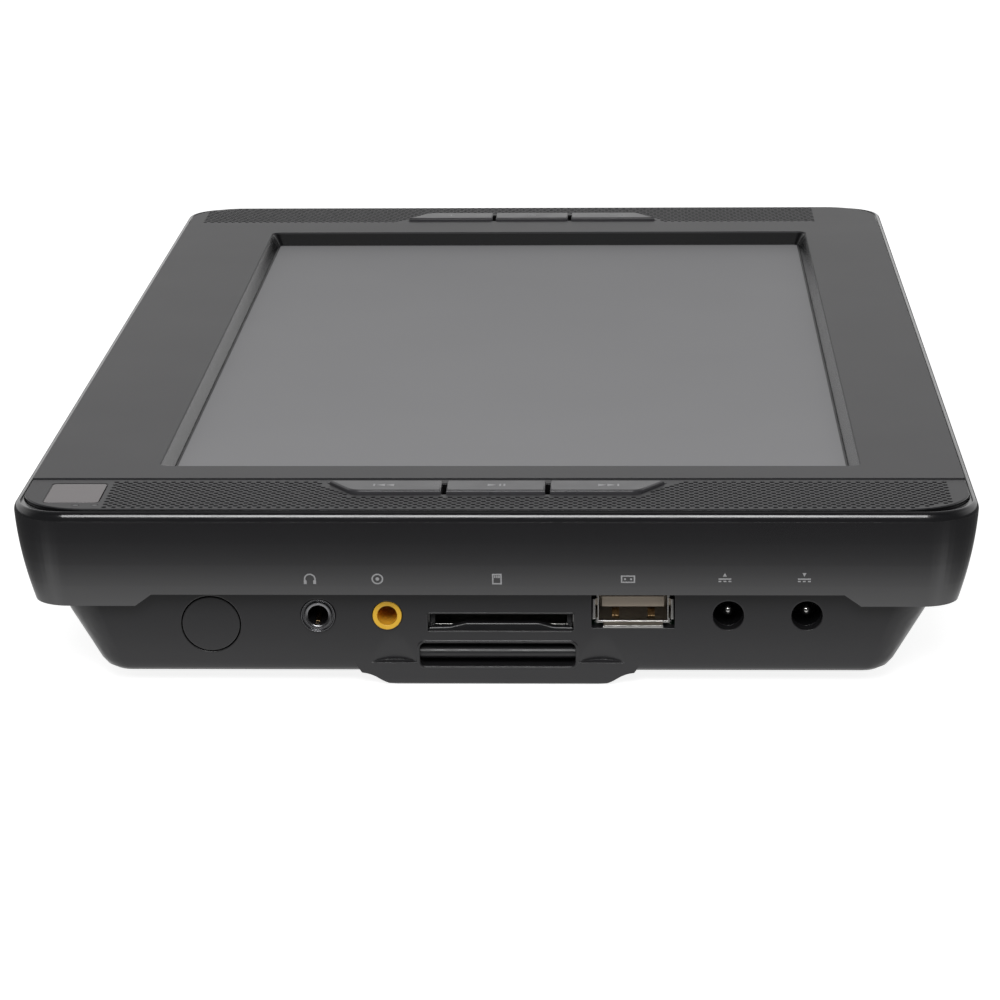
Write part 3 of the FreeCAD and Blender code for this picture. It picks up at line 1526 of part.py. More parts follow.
def objective_lens():
    """Domed lens in the tower."""
    low = sled_top - 1.6
    top = well_floor - 0.5
    barrel = post(0, lens_rest_y, low, top - 0.7, 2.2)
    crown = 0.7
    radius = (2.0 ** 2 + crown ** 2) / (2 * crown)
    ball = Part.makeSphere(radius, V(0, lens_rest_y, top - radius))
    dome = ball.common(post(0, lens_rest_y, top - 0.75, top + 1, 2.0))
    return barrel.fuse(dome).removeSplitter()


def sled_follower():
    """Nut arm on the sled that runs on the leadscrew."""
    y0 = lens_rest_y - 4.0
    y1 = lens_rest_y + 7.0
    x0 = rod_x + 2.5
    x1 = screw_shaft_x + 2.6
    arm = box(x0, x1, y0, y1, sled_bottom, sled_top - 0.2)
    return arm.cut(bar_y(screw_shaft_x, rod_z, -10, 120, screw_shaft_r + 0.07))


def leadscrew():
    """Leadscrew of the sled, with its plain ends."""
    bracket_low = rod_y[0]
    shaft = bar_y(screw_shaft_x, rod_z, bracket_low + 1.2, rod_y[1], screw_shaft_r)
    ends = bar_y(screw_shaft_x, rod_z, bracket_low - 0.4, rod_y[1] + 4.0, 0.7)
    return shaft.fuse(ends).removeSplitter()


def leadscrew_bracket():
    """U-shaped bracket that holds the leadscrew and its motor."""
    x0 = screw_shaft_x - 1.9
    x1 = screw_shaft_x + 4.2
    y0, y1 = rod_y
    strip = box(x0, x1, y0 - 0.2, y1 + 1.4, chassis_top, chassis_top + 0.5)
    ears = [
        box(x0, x1, y0 - 0.2, y0 + 0.8, chassis_top, sled_top),
        box(x0, x1, y1 + 0.4, y1 + 1.4, chassis_top, sled_top + 1.4),
    ]
    return fuse_all([strip] + ears).cut(bar_y(screw_shaft_x, rod_z, y0 - 3, y1 + 3, 0.76))


def sled_motor():
    """Stepper can at the end of the leadscrew."""
    y0 = rod_y[1] + 1.4
    can = bar_y(screw_shaft_x, rod_z, y0, y0 + motor_can_length, motor_can_r)
    return can.cut(bar_y(screw_shaft_x, rod_z, y0 - 1, y0 + 4.0, 0.78))


# Everything, node by node


def save(name, shape):
    """Write one node; a list is a group of separate solids."""
    if isinstance(shape, (list, tuple)):
        shape = Part.makeCompound(shape)
    elif shape.ShapeType == "Compound" and len(shape.Solids) == 1:
        shape = shape.Solids[0]
    bad = [i for i, s in enumerate(shape.Solids) if not s.isValid()]
    print(f"{name}: {len(shape.Solids)} solids, {shape.Volume / 1000:.2f} cm3{', INVALID' if bad else ''}")
    shape.exportStep(os.path.join("parts", name + ".step"))


def main():
    """Build and write every node."""
    os.makedirs("parts", exist_ok=True)
    frame = speaker_frame()
    cone = speaker_cone()
    nodes = {
        "lid_shell": lid_shell(),
        "rim_trim": rim_trim(),
        "screen_bezel": screen_bezel(),
        "near_grille": near_grille(),
        "far_grille": far_grille(),
        "screen_glass": screen_glass(),
        "screen_frame": screen_frame(),
        "light_guide": light_guide(),
        "lid_inner_cover": lid_inner_cover(),
        "lid_screws": lid_screws(),
        "lid_magnet": lid_magnet(),
        "infrared_window": infrared_window(),
        "indicator_pips": indicator_pips(),
        "key_boards": key_boards(),
        "key_board_parts": key_board_parts(),
        "speakers": [frame, mirror_y(frame)],
        "speaker_cones": [cone, mirror_y(cone)],
        "screen_board": screen_board(),
        "screen_board_parts": screen_board_parts(),
        "power_switch_body": power_switch_body(),
        "power_knob": power_knob(),
        "lid_lock": lid_lock(),
        "base_shell": base_shell(),
        "deck_plate": deck_plate(),
        "case_screws": case_screws(),
        "hinge_pins": hinge_pins(),
        "strap_bars": strap_bars(),
        "main_board": main_board(),
        "board_components": board_components(),
        "headphone_jack": headphone_jack(),
        "headphone_ring": headphone_ring(),
        "av_jack": av_jack(),
        "card_cage": card_cage(),
        "usb_shell": usb_shell(),
        "usb_tongue": usb_tongue(),
        "dc_jacks": dc_jacks(),
        "dc_pins": dc_pins(),
        "blanking_plug": blanking_plug(),
        "loader_chassis": loader_chassis(),
        "dampers": dampers(),
        "damper_screws": damper_screws(),
        "spindle_base": spindle_base(),
        "stator_core": stator_core(),
        "spindle_rotor": spindle_rotor(),
        "turntable": turntable(),
        "chuck_claws": chuck_claws(),
        "guide_rods": guide_rods(),
        "pickup_sled": pickup_sled(),
        "lens_guard": lens_guard(),
        "objective_lens": objective_lens(),
        "sled_follower": sled_follower(),
        "leadscrew": leadscrew(),
        "leadscrew_bracket": leadscrew_bracket(),
        "sled_motor": sled_motor(),
    }
    for name, (first, last) in key_spans.items():
        nodes[name] = key(first, last)
    for near, far in (("previous_key", "volume_down_key"), ("play_key", "menu_key"), ("next_key", "volume_up_key")):
        nodes[far] = turned_end(nodes[near])
    for name, shape in nodes.items():
        save(name, shape)


main()
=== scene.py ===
"""Main unit of a dual-screen car disc player, dressed for rendering over its CAD frame. Units are metres."""
import json
import logging
import math
from dataclasses import dataclass, field
from enum import Enum
from functools import partial
from typing import Callable, Iterable, Sequence

import bmesh
import bpy
from mathutils import Matrix, Vector


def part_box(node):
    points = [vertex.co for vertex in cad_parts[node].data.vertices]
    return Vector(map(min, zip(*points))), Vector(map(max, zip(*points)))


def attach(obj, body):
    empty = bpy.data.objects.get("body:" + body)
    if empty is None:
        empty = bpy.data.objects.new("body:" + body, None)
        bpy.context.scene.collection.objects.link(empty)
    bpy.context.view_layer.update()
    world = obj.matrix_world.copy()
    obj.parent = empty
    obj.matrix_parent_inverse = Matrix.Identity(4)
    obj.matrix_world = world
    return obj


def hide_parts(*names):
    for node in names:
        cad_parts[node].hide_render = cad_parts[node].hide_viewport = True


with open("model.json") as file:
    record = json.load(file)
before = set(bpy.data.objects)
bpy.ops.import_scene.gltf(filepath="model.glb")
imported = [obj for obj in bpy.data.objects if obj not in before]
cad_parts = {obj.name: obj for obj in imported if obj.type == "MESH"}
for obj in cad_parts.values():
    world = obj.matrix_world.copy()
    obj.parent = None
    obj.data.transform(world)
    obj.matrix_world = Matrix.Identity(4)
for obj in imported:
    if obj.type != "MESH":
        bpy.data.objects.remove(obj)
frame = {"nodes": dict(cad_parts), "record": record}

log = logging.getLogger("disc_player")
MM = 0.001
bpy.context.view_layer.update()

# Half sizes of the unit in plan and the radius of its corners
UNIT_HALF = (86.05, 145.65)
UNIT_CORNER = 10.0

# Distances and angles that cleaning a mesh goes by
MERGE_MM = 0.002
CAD_MERGE_MM = 0.004
LEVEL_MM = 0.0005
FLAT_DEG = 0.6
CREASE_DEG = 30.0
FACE_WEIGHT = 60
EDGE_SAMPLES = 6

Point = tuple[float, float]
Triple = tuple[float, float, float]
Colour = tuple[float, float, float]
Shape = bmesh.types.BMesh
Vert = bmesh.types.BMVert
Edge = bmesh.types.BMEdge
Face = bmesh.types.BMFace
Piece = bpy.types.Object
Socket = bpy.types.NodeSocket
Material = bpy.types.Material


class End(Enum):
    """The two ends of the unit: the near one holds the sockets."""

    NEAR = "near"
    FAR = "far"


class Sign(Enum):
    """Generic signs printed on the keys and over the sockets."""

    BACK = "back"
    PLAY = "play"
    NEXT = "next"
    MINUS = "minus"
    MENU = "menu"
    PLUS = "plus"
    EAR = "ear"
    ROUND_PLUG = "round plug"
    CARD = "card"
    FLAT_PLUG = "flat plug"
    POWER_OUT = "power out"
    POWER_IN = "power in"


class Facing(Enum):
    """Which way a screw's head looks."""

    UP = 1
    DOWN = -1


# Finishes


class Graph:
    """A node tree under construction."""

    def __init__(self, tree: bpy.types.NodeTree) -> None:
        """Take a tree and empty it.

        Args:
            tree: node tree of a material or of the world.
        """
        self.tree = tree
        self.tree.nodes.clear()

    def give(self, socket: Socket, value: object) -> None:
        """Link an input to another node's output, or set it to a constant.

        Args:
            socket: the input.
            value: an output, or a number, vector or colour.
        """
        if isinstance(value, Socket):
            self.tree.links.new(value, socket)
        else:
            socket.default_value = (*value, 1.0) if socket.type == "RGBA" else value

    def add(self, kind: str, options: dict[str, object] | None = None, **inputs: object) -> bpy.types.Node:
        """Add a node.

        Args:
            kind: the node's type, without the leading word that all share.
            options: the node's own settings, set before its inputs.
            inputs: what each input gets, by its name with underscores for spaces.

        Returns:
            The node.
        """
        node = self.tree.nodes.new("ShaderNode" + kind)
        for name, value in (options or {}).items():
            setattr(node, name, value)
        for name, value in inputs.items():
            self.give(node.inputs[name.replace("_", " ")], value)
        return node

    def span(
        self,
        value: Socket,
        low: float,
        high: float,
        start: float = 0.3,
        end: float = 0.7,
        shape: str = "LINEAR",
    ) -> Socket:
        """Map a stretch of a value, by default a noise's middle, onto a new range.

        Args:
            value: input value.
            low: result at start.
            high: result at end.
            start: input that gives low.
            end: input that gives high.
            shape: Blender's name of the passage between them.

        Returns:
            The mapped value.
        """
        limits = {"From_Min": start, "From_Max": end, "To_Min": low, "To_Max": high}
        return self.add("MapRange", {"interpolation_type": shape}, Value=value, **limits).outputs["Result"]

    def about(self, value: Socket, middle: float, swing: float) -> Socket:
        """Map a noise's middle stretch onto a range given by its middle and its half width."""
        return self.span(value, middle - swing, middle + swing)

    def arithmetic(self, operation: str, first: Socket, second: Socket | float = 0.0) -> Socket:
        """One sum on two values.

        Args:
            operation: Blender's name of the sum.
            first: first value.
            second: second value, which a sum on one value leaves unread.

        Returns:
            The result.
        """
        node = self.add("Math", {"operation": operation})
        self.give(node.inputs[0], first)
        self.give(node.inputs[1], second)
        return node.outputs["Value"]


class ShaderTree(Graph):
    """A material under construction: one Principled shader with object-space patterns."""

    def __init__(self, name: str) -> None:
        """Start an empty material.

        Args:
            name: name of the material.
        """
        self.material = bpy.data.materials.new(name)
        self.material.use_nodes = True
        super().__init__(self.material.node_tree)
        self.shader = self.add("BsdfPrincipled")
        self.output = self.add("OutputMaterial", Surface=self.shader.outputs["BSDF"])
        self.coords = self.add("TexCoord").outputs["Object"]

    def set(self, **values: object) -> None:
        """Set or link the shader's own inputs, named with underscores for spaces."""
        for name, value in values.items():
            self.give(self.shader.inputs[name.replace("_", " ")], value)

    def stretched(self, scale: Triple) -> Socket:
        """Object coordinates stretched by a factor on x, y and z."""
        return self.add("Mapping", Scale=scale, Vector=self.coords).outputs["Vector"]

    def noise(self, size_mm: float, detail: float = 2.0, vector: Socket | None = None) -> Socket:
        """Noise whose blobs are about a given size.

        Args:
            size_mm: size of a blob in millimetres.
            detail: octaves of finer noise.
            vector: coordinates to use, or None for plain object coordinates.

        Returns:
            The noise's value.
        """
        place = vector or self.coords
        return self.add("TexNoise", Scale=1.0 / (size_mm * MM), Detail=detail, Vector=place).outputs["Fac"]

    def blend(self, factor: Socket, first: Colour, second: Colour) -> Socket:
        """Mix two colours by a value.

        Args:
            factor: 0 gives the first colour, 1 the second.
            first: linear colour.
            second: linear colour.

        Returns:
            The mixed colour.
        """
        return self.add("Mix", {"data_type": "RGBA"}, A=first, B=second, Factor=factor).outputs["Result"]

    def mottled(self, size_mm: float, detail: float, first: Colour, second: Colour) -> Socket:
        """Blobs of one colour in another.

        Args:
            size_mm: size of a blob in millimetres.
            detail: octaves of finer noise.
            first: linear colour.
            second: linear colour.

        Returns:
            The colour.
        """
        return self.blend(self.span(self.noise(size_mm, detail), 0.0, 1.0), first, second)

    def relief(self, height: Socket, depth_mm: float, edge_mm: float = 0.0) -> None:
        """Give the surface relief, over edges that are rounded for shading.

        Args:
            height: pattern of heights.
            depth_mm: depth of the pattern in millimetres.
            edge_mm: radius that sharp edges are shaded with, or 0 for none.
        """
        bump = self.add("Bump", Distance=depth_mm * MM, Height=height)
        if edge_mm:
            rounding = self.add("Bevel", {"samples": EDGE_SAMPLES}, Radius=edge_mm * MM)
            self.give(bump.inputs["Normal"], rounding.outputs["Normal"])
        self.set(Normal=bump.outputs["Normal"])


@dataclass(frozen=True)
class MouldedPlastic:
    """Moulded plastic with a fine spark-eroded grain and faint mottling."""

    name: str
    colour: Colour
    roughness: float = 0.42
    grain_mm: float = 0.35
    grain_depth_mm: float = 0.012
    edge_mm: float = 0.25
    lift: float = 1.25
    unevenness: float = 0.03
    ior: float = 1.5
    mottle_mm: float = 22.0
    wear_mm: float = 6.0

    def build(self) -> Material:
        """Build the material.

        Returns:
            The finished material.
        """
        tree = ShaderTree(self.name)
        pale = tuple(c * self.lift for c in self.colour)
        rough = tree.about(tree.noise(self.wear_mm, 3.0), self.roughness, self.unevenness)
        tint = tree.mottled(self.mottle_mm, 2.0, self.colour, pale)
        tree.set(Base_Color=tint, Roughness=rough, IOR=self.ior)
        tree.relief(tree.noise(self.grain_mm, 1.0), self.grain_depth_mm, self.edge_mm)
        return tree.material


@dataclass(frozen=True)
class PaintAndShadePlastic:
    """Grey paint on the upward faces of a black moulding, whose sides keep the bare smooth resin. The dark
    resin colour is partly painted shade: it darkens the sound holes' walls and the screen's chamfer, where
    shade falls.
    """

    name: str
    paint: Colour
    resin: Colour
    paint_foot_mm: float = 34.62
    paint_edge_mm: float = 0.06
    thinnest_paint: float = 0.93
    mottle_mm: float = 22.0
    paint_roughness: float = 0.42
    resin_roughness: float = 0.24
    resin_coat: float = 0.8
    coat_roughness: float = 0.22
    grain_mm: float = 0.3
    grain_depth_mm: float = 0.006
    edge_mm: float = 0.15
    ior: float = 1.4

    def build(self) -> Material:
        """Build the material.

        Returns:
            The finished material.
        """
        tree = ShaderTree(self.name)
        parts = tree.add("SeparateXYZ", Vector=tree.coords)
        foot = self.paint_foot_mm * MM
        # Below the paint's foot the colour turns to the dark resin, which also serves as painted shade in the
        # sound holes and on the screen's chamfer.
        paint_over_shade_mask = tree.span(parts.outputs["Z"], 0.0, 1.0, foot, foot + self.paint_edge_mm * MM)
        paint = tree.span(tree.noise(self.mottle_mm), self.thinnest_paint, 1.0)
        cover = tree.arithmetic("MULTIPLY", paint_over_shade_mask, paint)
        tree.set(
            Base_Color=tree.blend(cover, self.resin, self.paint),
            Roughness=tree.span(cover, self.resin_roughness, self.paint_roughness, 0.0, 1.0),
            Coat_Weight=tree.span(paint_over_shade_mask, self.resin_coat, 0.0, 0.0, 1.0),
            Coat_Roughness=self.coat_roughness,
            IOR=self.ior,
        )
        tree.relief(tree.noise(self.grain_mm, 1.0), self.grain_depth_mm, self.edge_mm)
        return tree.material


@dataclass(frozen=True)
class PolishedPlastic:
    """Gloss black trim with a faint ripple from the mould."""

    name: str
    colour: Colour
    roughness: float = 0.2
    coat: float = 0.5
    coat_roughness: float = 0.05
    ripple_mm: float = 9.0
    ripple_depth_mm: float = 0.008
    edge_mm: float = 0.15
    lift: float = 1.2
    mottle_mm: float = 30.0
    wear_mm: float = 4.0
    wear: Point = (0.8, 1.3)

    def build(self) -> Material:
        """Build the material.

        Returns:
            The finished material.
        """
        tree = ShaderTree(self.name)
        pale = tuple(c * self.lift for c in self.colour)
        smooth, worn = (self.roughness * share for share in self.wear)
        tree.set(
            Base_Color=tree.blend(tree.noise(self.mottle_mm), self.colour, pale),
            Roughness=tree.span(tree.noise(self.wear_mm, 3.0), smooth, worn),
            Coat_Weight=self.coat,
            Coat_Roughness=self.coat_roughness,
        )
        tree.relief(tree.noise(self.ripple_mm, 0.0), self.ripple_depth_mm, self.edge_mm)
        return tree.material


@dataclass(frozen=True)
class WorkedMetal:
    """Metal with drawing or rolling lines along one axis."""

    name: str
    colour: Colour
    roughness: float = 0.3
    lines: tuple[float, float, float] = (1.0, 0.06, 1.0)
    line_mm: float = 0.12
    depth_mm: float = 0.004
    edge_mm: float = 0.12
    stain: float = 0.82
    stain_mm: float = 5.0
    wear: Point = (0.8, 1.3)

    def build(self) -> Material:
        """Build the material.

        Returns:
            The finished material.
        """
        tree = ShaderTree(self.name)
        lines = tree.noise(self.line_mm, 2.0, tree.stretched(self.lines))
        dull = tuple(c * self.stain for c in self.colour)
        rough = tree.span(lines, *(self.roughness * share for share in self.wear))
        stained = tree.mottled(self.stain_mm, 4.0, dull, self.colour)
        tree.set(Base_Color=stained, Roughness=rough, Metallic=1.0)
        tree.relief(lines, self.depth_mm, self.edge_mm)
        return tree.material


@dataclass(frozen=True)
class SoftRubber:
    """Soft rubber with a dull bloom."""

    name: str
    colour: Colour
    roughness: float = 0.75
    grain_mm: float = 0.2
    grain_depth_mm: float = 0.02
    edge_mm: float = 0.2
    bloom_mm: float = 2.0
    bloom_lift: float = 1.6
    bloom_floor: float = 0.01

    def build(self) -> Material:
        """Build the material.

        Returns:
            The finished material.
        """
        tree = ShaderTree(self.name)
        bloom = tuple(c * self.bloom_lift + self.bloom_floor for c in self.colour)
        tree.set(Base_Color=tree.mottled(self.bloom_mm, 4.0, self.colour, bloom), Roughness=self.roughness)
        tree.relief(tree.noise(self.grain_mm, 2.0), self.grain_depth_mm, self.edge_mm)
        return tree.material


@dataclass(frozen=True)
class PrintedBoard:
    """Solder-masked board with copper tracks showing under the mask."""

    name: str
    mask: Colour
    track: Colour
    track_mm: float = 1.3
    track_height_mm: float = 0.03
    edge_mm: float = 0.1
    cell_share: float = 2.4
    stretch: Triple = (1.0, 1.0, 0.05)
    track_edge: Point = (0.42, 0.5)
    roughness: Point = (0.3, 0.4)
    wear_mm: float = 3.0

    def build(self) -> Material:
        """Build the material.

        Returns:
            The finished material.
        """
        tree = ShaderTree(self.name)
        options = {"distance": "MANHATTAN", "feature": "F1"}
        scale = 1.0 / (self.track_mm * self.cell_share * MM)
        cells = tree.add("TexVoronoi", options, Scale=scale, Vector=tree.stretched(self.stretch))
        tracks = tree.span(cells.outputs["Distance"], 1.0, 0.0, *self.track_edge)
        rough = tree.span(tree.noise(self.wear_mm), *self.roughness)
        tree.set(Base_Color=tree.blend(tracks, self.mask, self.track), Roughness=rough)
        tree.relief(tracks, self.track_height_mm, self.edge_mm)
        return tree.material


@dataclass(frozen=True)
class ScreenPane:
    """Grey screen film with a matt anti-glare coat."""

    name: str
    colour: Colour
    roughness: float = 0.45
    unevenness: float = 0.02
    grain_mm: float = 0.12
    grain_depth_mm: float = 0.001
    ior: float = 1.12
    lift: float = 1.02
    mottle_mm: float = 70.0
    wear_mm: float = 40.0

    def build(self) -> Material:
        """Build the material.

        Returns:
            The finished material.
        """
        tree = ShaderTree(self.name)
        pale = tuple(c * self.lift for c in self.colour)
        rough = tree.about(tree.noise(self.wear_mm, 1.0), self.roughness, self.unevenness)
        tint = tree.mottled(self.mottle_mm, 2.0, self.colour, pale)
        tree.set(Base_Color=tint, Roughness=rough, IOR=self.ior)
        tree.relief(tree.noise(self.grain_mm, 0.0), self.grain_depth_mm)
        return tree.material


@dataclass(frozen=True)
class ClearResin:
    """Clear or smoked resin, seen as a coated body colour with some depth."""

    name: str
    colour: Colour
    transmission: float = 0.4
    roughness: float = 0.12
    ior: float = 1.49
    lift: float = 1.25
    mottle_mm: float = 8.0
    ripple_mm: float = 3.0
    ripple_depth_mm: float = 0.003
    edge_mm: float = 0.15

    def build(self) -> Material:
        """Build the material.

        Returns:
            The finished material.
        """
        tree = ShaderTree(self.name)
        pale = tuple(min(1.0, c * self.lift) for c in self.colour)
        tree.set(
            Base_Color=tree.blend(tree.noise(self.mottle_mm), self.colour, pale),
            Transmission_Weight=self.transmission,
            Roughness=self.roughness,
            IOR=self.ior,
        )
        tree.relief(tree.noise(self.ripple_mm, 0.0), self.ripple_depth_mm, self.edge_mm)
        return tree.material


@dataclass(frozen=True)
class WovenCloth:
    """Black acoustic cloth or paper fibre."""

    name: str
    colour: Colour
    thread_mm: float = 0.5
    roughness: float = 0.9
    depth_mm: float = 0.06
    wave_share: float = 0.32
    waviness: float = 0.6
    shade: float = 0.4

    def build(self) -> Material:
        """Build the material.

        Returns:
            The finished material.
        """
        tree = ShaderTree(self.name)
        inputs = {"Scale": self.wave_share / (self.thread_mm * MM), "Distortion": self.waviness}
        waves = [tree.add("TexWave", {"bands_direction": way}, Vector=tree.coords, **inputs) for way in "XY"]
        weave = tree.arithmetic("MAXIMUM", *(wave.outputs["Fac"] for wave in waves))
        dark = tuple(c * self.shade for c in self.colour)
        tree.set(Base_Color=tree.blend(weave, dark, self.colour), Roughness=self.roughness)
        tree.relief(weave, self.depth_mm)
        return tree.material


@dataclass(frozen=True)
class PrintedInk:
    """Screen-printed light ink, slightly uneven."""

    name: str
    colour: Colour
    roughness: float = 0.5
    wear: float = 0.8
    wear_mm: float = 0.4

    def build(self) -> Material:
        """Build the material.

        Returns:
            The finished material.
        """
        tree = ShaderTree(self.name)
        worn = tuple(c * self.wear for c in self.colour)
        tree.set(Base_Color=tree.mottled(self.wear_mm, 3.0, worn, self.colour), Roughness=self.roughness)
        return tree.material


# Stretch of a metal's lines where they have no direction
UNWORKED = (1.0, 1.0, 1.0)


class Palette:
    """Every finish of the unit, by the record's slot name."""

    def __init__(self) -> None:
        """Build the materials once."""
        near_black = (0.0088, 0.0085, 0.01)
        finishes = {
            "skirt": MouldedPlastic(
                "Skirt", near_black, roughness=0.23, grain_mm=0.3, grain_depth_mm=0.002, edge_mm=0.02,
                lift=1.06, unevenness=0.01, ior=1.95,
            ),
            # Top plates: grey paint over dark resin; the resin's dark below the paint line is partly painted
            # shade in the sound holes and on the screen's chamfer.
            "top_plates": PaintAndShadePlastic("Top plates", (0.028, 0.0274, 0.0302), (0.005, 0.005, 0.0056)),
            "rim_trim": PolishedPlastic("Rim trim", (0.008, 0.008, 0.009)),
            "screen_glass": ScreenPane("Screen glass", (0.285, 0.284, 0.292)),
            "module_tray": WorkedMetal("Module tray", (0.62, 0.62, 0.64), roughness=0.35),
            "light_guide": ClearResin("Light guide", (0.75, 0.78, 0.8), transmission=0.6, roughness=0.2),
            "inner_plastic": MouldedPlastic(
                "Inner plastic", (0.02, 0.02, 0.022), roughness=0.5, grain_mm=0.4, grain_depth_mm=0.012,
            ),
            "screws": WorkedMetal("Blackened screws", (0.13, 0.13, 0.135), roughness=0.38, lines=UNWORKED),
            "magnet": WorkedMetal("Magnet", (0.55, 0.55, 0.56), roughness=0.25, lines=UNWORKED),
            "infrared_window": ClearResin(
                "Infrared window", (0.06, 0.042, 0.045), transmission=0.15, roughness=0.14,
            ),
            "light_guide_pips": ClearResin(
                "Light guide pips", (0.03, 0.03, 0.034), transmission=0.1, roughness=0.3,
            ),
            "boards": PrintedBoard("Printed board", (0.01, 0.07, 0.03), (0.03, 0.16, 0.07)),
            "chips": MouldedPlastic(
                "Chip resin", (0.02, 0.02, 0.021), roughness=0.55, grain_mm=0.15, grain_depth_mm=0.01,
                edge_mm=0.08,
            ),
            "speaker_frame": WorkedMetal("Speaker frame", (0.35, 0.35, 0.36), roughness=0.4),
            "speaker_cone": WovenCloth("Speaker paper", (0.03, 0.03, 0.03), thread_mm=0.4),
            "switch_body": MouldedPlastic("Switch body", (0.03, 0.03, 0.03), roughness=0.5),
            "knobs": MouldedPlastic(
                "Knobs", (0.018, 0.018, 0.02), roughness=0.34, grain_mm=0.25, grain_depth_mm=0.005,
                edge_mm=0.2,
            ),
            "base_plastic": MouldedPlastic(
                "Base plastic", (0.017, 0.0167, 0.0182), roughness=0.3, grain_mm=0.35,
                grain_depth_mm=0.005, edge_mm=0.3, lift=1.04, unevenness=0.012, ior=1.5,
            ),
            "steel": WorkedMetal("Ground steel", (0.62, 0.62, 0.64), roughness=0.22),
            "jack_plastic": MouldedPlastic(
                "Jack plastic", (0.01, 0.01, 0.011), roughness=0.25, grain_mm=0.2, grain_depth_mm=0.003,
                edge_mm=0.1,
            ),
            "plated": WorkedMetal(
                "Nickel plate", (0.7, 0.69, 0.67), roughness=0.16, lines=(1.0, 0.1, 1.0), line_mm=0.1,
                depth_mm=0.002,
            ),
            "av_yellow": MouldedPlastic(
                "Yellow jack plastic", (0.86, 0.5, 0.045), roughness=0.28, grain_mm=0.25,
                grain_depth_mm=0.004, edge_mm=0.3, lift=1.06,
            ),
            "chassis": WorkedMetal(
                "Plated chassis", (0.58, 0.58, 0.57), roughness=0.32, lines=(0.06, 1.0, 1.0),
            ),
            "damper_rubber": SoftRubber("Damper rubber", (0.09, 0.025, 0.02)),
            "windings": WorkedMetal(
                "Copper windings", (0.72, 0.33, 0.13), roughness=0.3, lines=(1.0, 1.0, 12.0), line_mm=0.25,
                depth_mm=0.04,
            ),
            "rotor": WorkedMetal("Rotor", (0.55, 0.55, 0.57), roughness=0.25),
            "turntable_plastic": MouldedPlastic(
                "Turntable plastic", (0.012, 0.012, 0.013), roughness=0.38, grain_mm=0.25,
                grain_depth_mm=0.004, edge_mm=0.12,
            ),
            "sled": WorkedMetal(
                "Die-cast sled", (0.5, 0.5, 0.52), roughness=0.45, lines=UNWORKED, line_mm=0.4,
                depth_mm=0.02,
            ),
            "lens_guard": MouldedPlastic(
                "Lens guard", (0.012, 0.012, 0.013), roughness=0.4, grain_mm=0.2, grain_depth_mm=0.004,
                edge_mm=0.1,
            ),
            "lens": ClearResin(
                "Coated lens", (0.35, 0.45, 0.75), transmission=0.85, roughness=0.03, ior=1.6,
            ),
            "follower": MouldedPlastic(
                "White nylon", (0.68, 0.68, 0.64), roughness=0.45, grain_mm=0.3, grain_depth_mm=0.006,
                edge_mm=0.15, lift=1.05,
            ),
            "motor_can": WorkedMetal("Motor can", (0.62, 0.62, 0.62), roughness=0.25),
            "keys": MouldedPlastic(
                "Key caps", (0.045, 0.044, 0.048), roughness=0.3, grain_mm=0.25, grain_depth_mm=0.003,
                edge_mm=0.12,
            ),
            "strap_bar": PolishedPlastic("Lacquered bar", (0.012, 0.012, 0.013), roughness=0.36, coat=0.0),
            "jack_ring": WorkedMetal(
                "Dark chrome", (0.27, 0.27, 0.28), roughness=0.22, lines=UNWORKED, line_mm=0.1,
                depth_mm=0.002,
            ),
            "tongue": MouldedPlastic(
                "Cream tongue plastic", (0.46, 0.39, 0.31), roughness=0.4, grain_mm=0.2,
                grain_depth_mm=0.003, edge_mm=0.1, lift=1.05,
            ),
        }
        self.by_slot = {slot: finish.build() for slot, finish in finishes.items()}
        self.ink = PrintedInk("Light print", (0.42, 0.42, 0.43)).build()
        self.cloth = WovenCloth("Grille cloth", (0.012, 0.012, 0.012)).build()
        self.spring = WorkedMetal("Contact bronze", (0.62, 0.42, 0.22), roughness=0.25).build()

    def dress_nodes(self) -> None:
        """Give every CAD node the finish of its own slot."""
        for entry in frame["record"]["subparts"]:
            node = frame["nodes"][entry["node"]]
            node.data.materials.clear()
            node.data.materials.append(self.by_slot[entry["material_slot"]])


# Mesh helpers


def body_of(node: str) -> str:
    """Name of the body that a CAD node rides on.

    Args:
        node: name of the CAD node.

    Returns:
        The body's name.
    """
    bodies = frame["record"]["behaviour"]["bodies"]
    return next(body for body, nodes in bodies.items() if node in nodes)


def finish_piece(
    bm: Shape,
    name: str,
    body: str,
    material: Material,
    crease_deg: float = CREASE_DEG,
) -> Piece:
    """Turn a bmesh into a piece with smooth faces and sharp creases.

    Args:
        bm: the finished shape; it is freed.
        name: name of the piece.
        body: body that it rides on.
        material: its finish.
        crease_deg: edges that turn more than this stay sharp.

    Returns:
        The piece.
    """
    bmesh.ops.remove_doubles(bm, verts=bm.verts, dist=MERGE_MM * MM)
    bmesh.ops.recalc_face_normals(bm, faces=bm.faces)
    limit = math.radians(crease_deg)
    for face in bm.faces:
        face.smooth = True
    for edge in bm.edges:
        edge.smooth = edge.is_manifold and edge.calc_face_angle(0.0) < limit
    mesh = bpy.data.meshes.new(name)
    bm.to_mesh(mesh)
    bm.free()
    mesh.materials.append(material)
    piece = bpy.data.objects.new(name, mesh)
    bpy.context.scene.collection.objects.link(piece)
    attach(piece, body)
    return piece


def weigh_normals(piece: Piece) -> None:
    """Let large flat faces keep flat shading beside rounded ones.

    Args:
        piece: the piece.
    """
    weighted = piece.modifiers.new("Weighted normals", "WEIGHTED_NORMAL")
    weighted.keep_sharp = True
    weighted.weight = FACE_WEIGHT


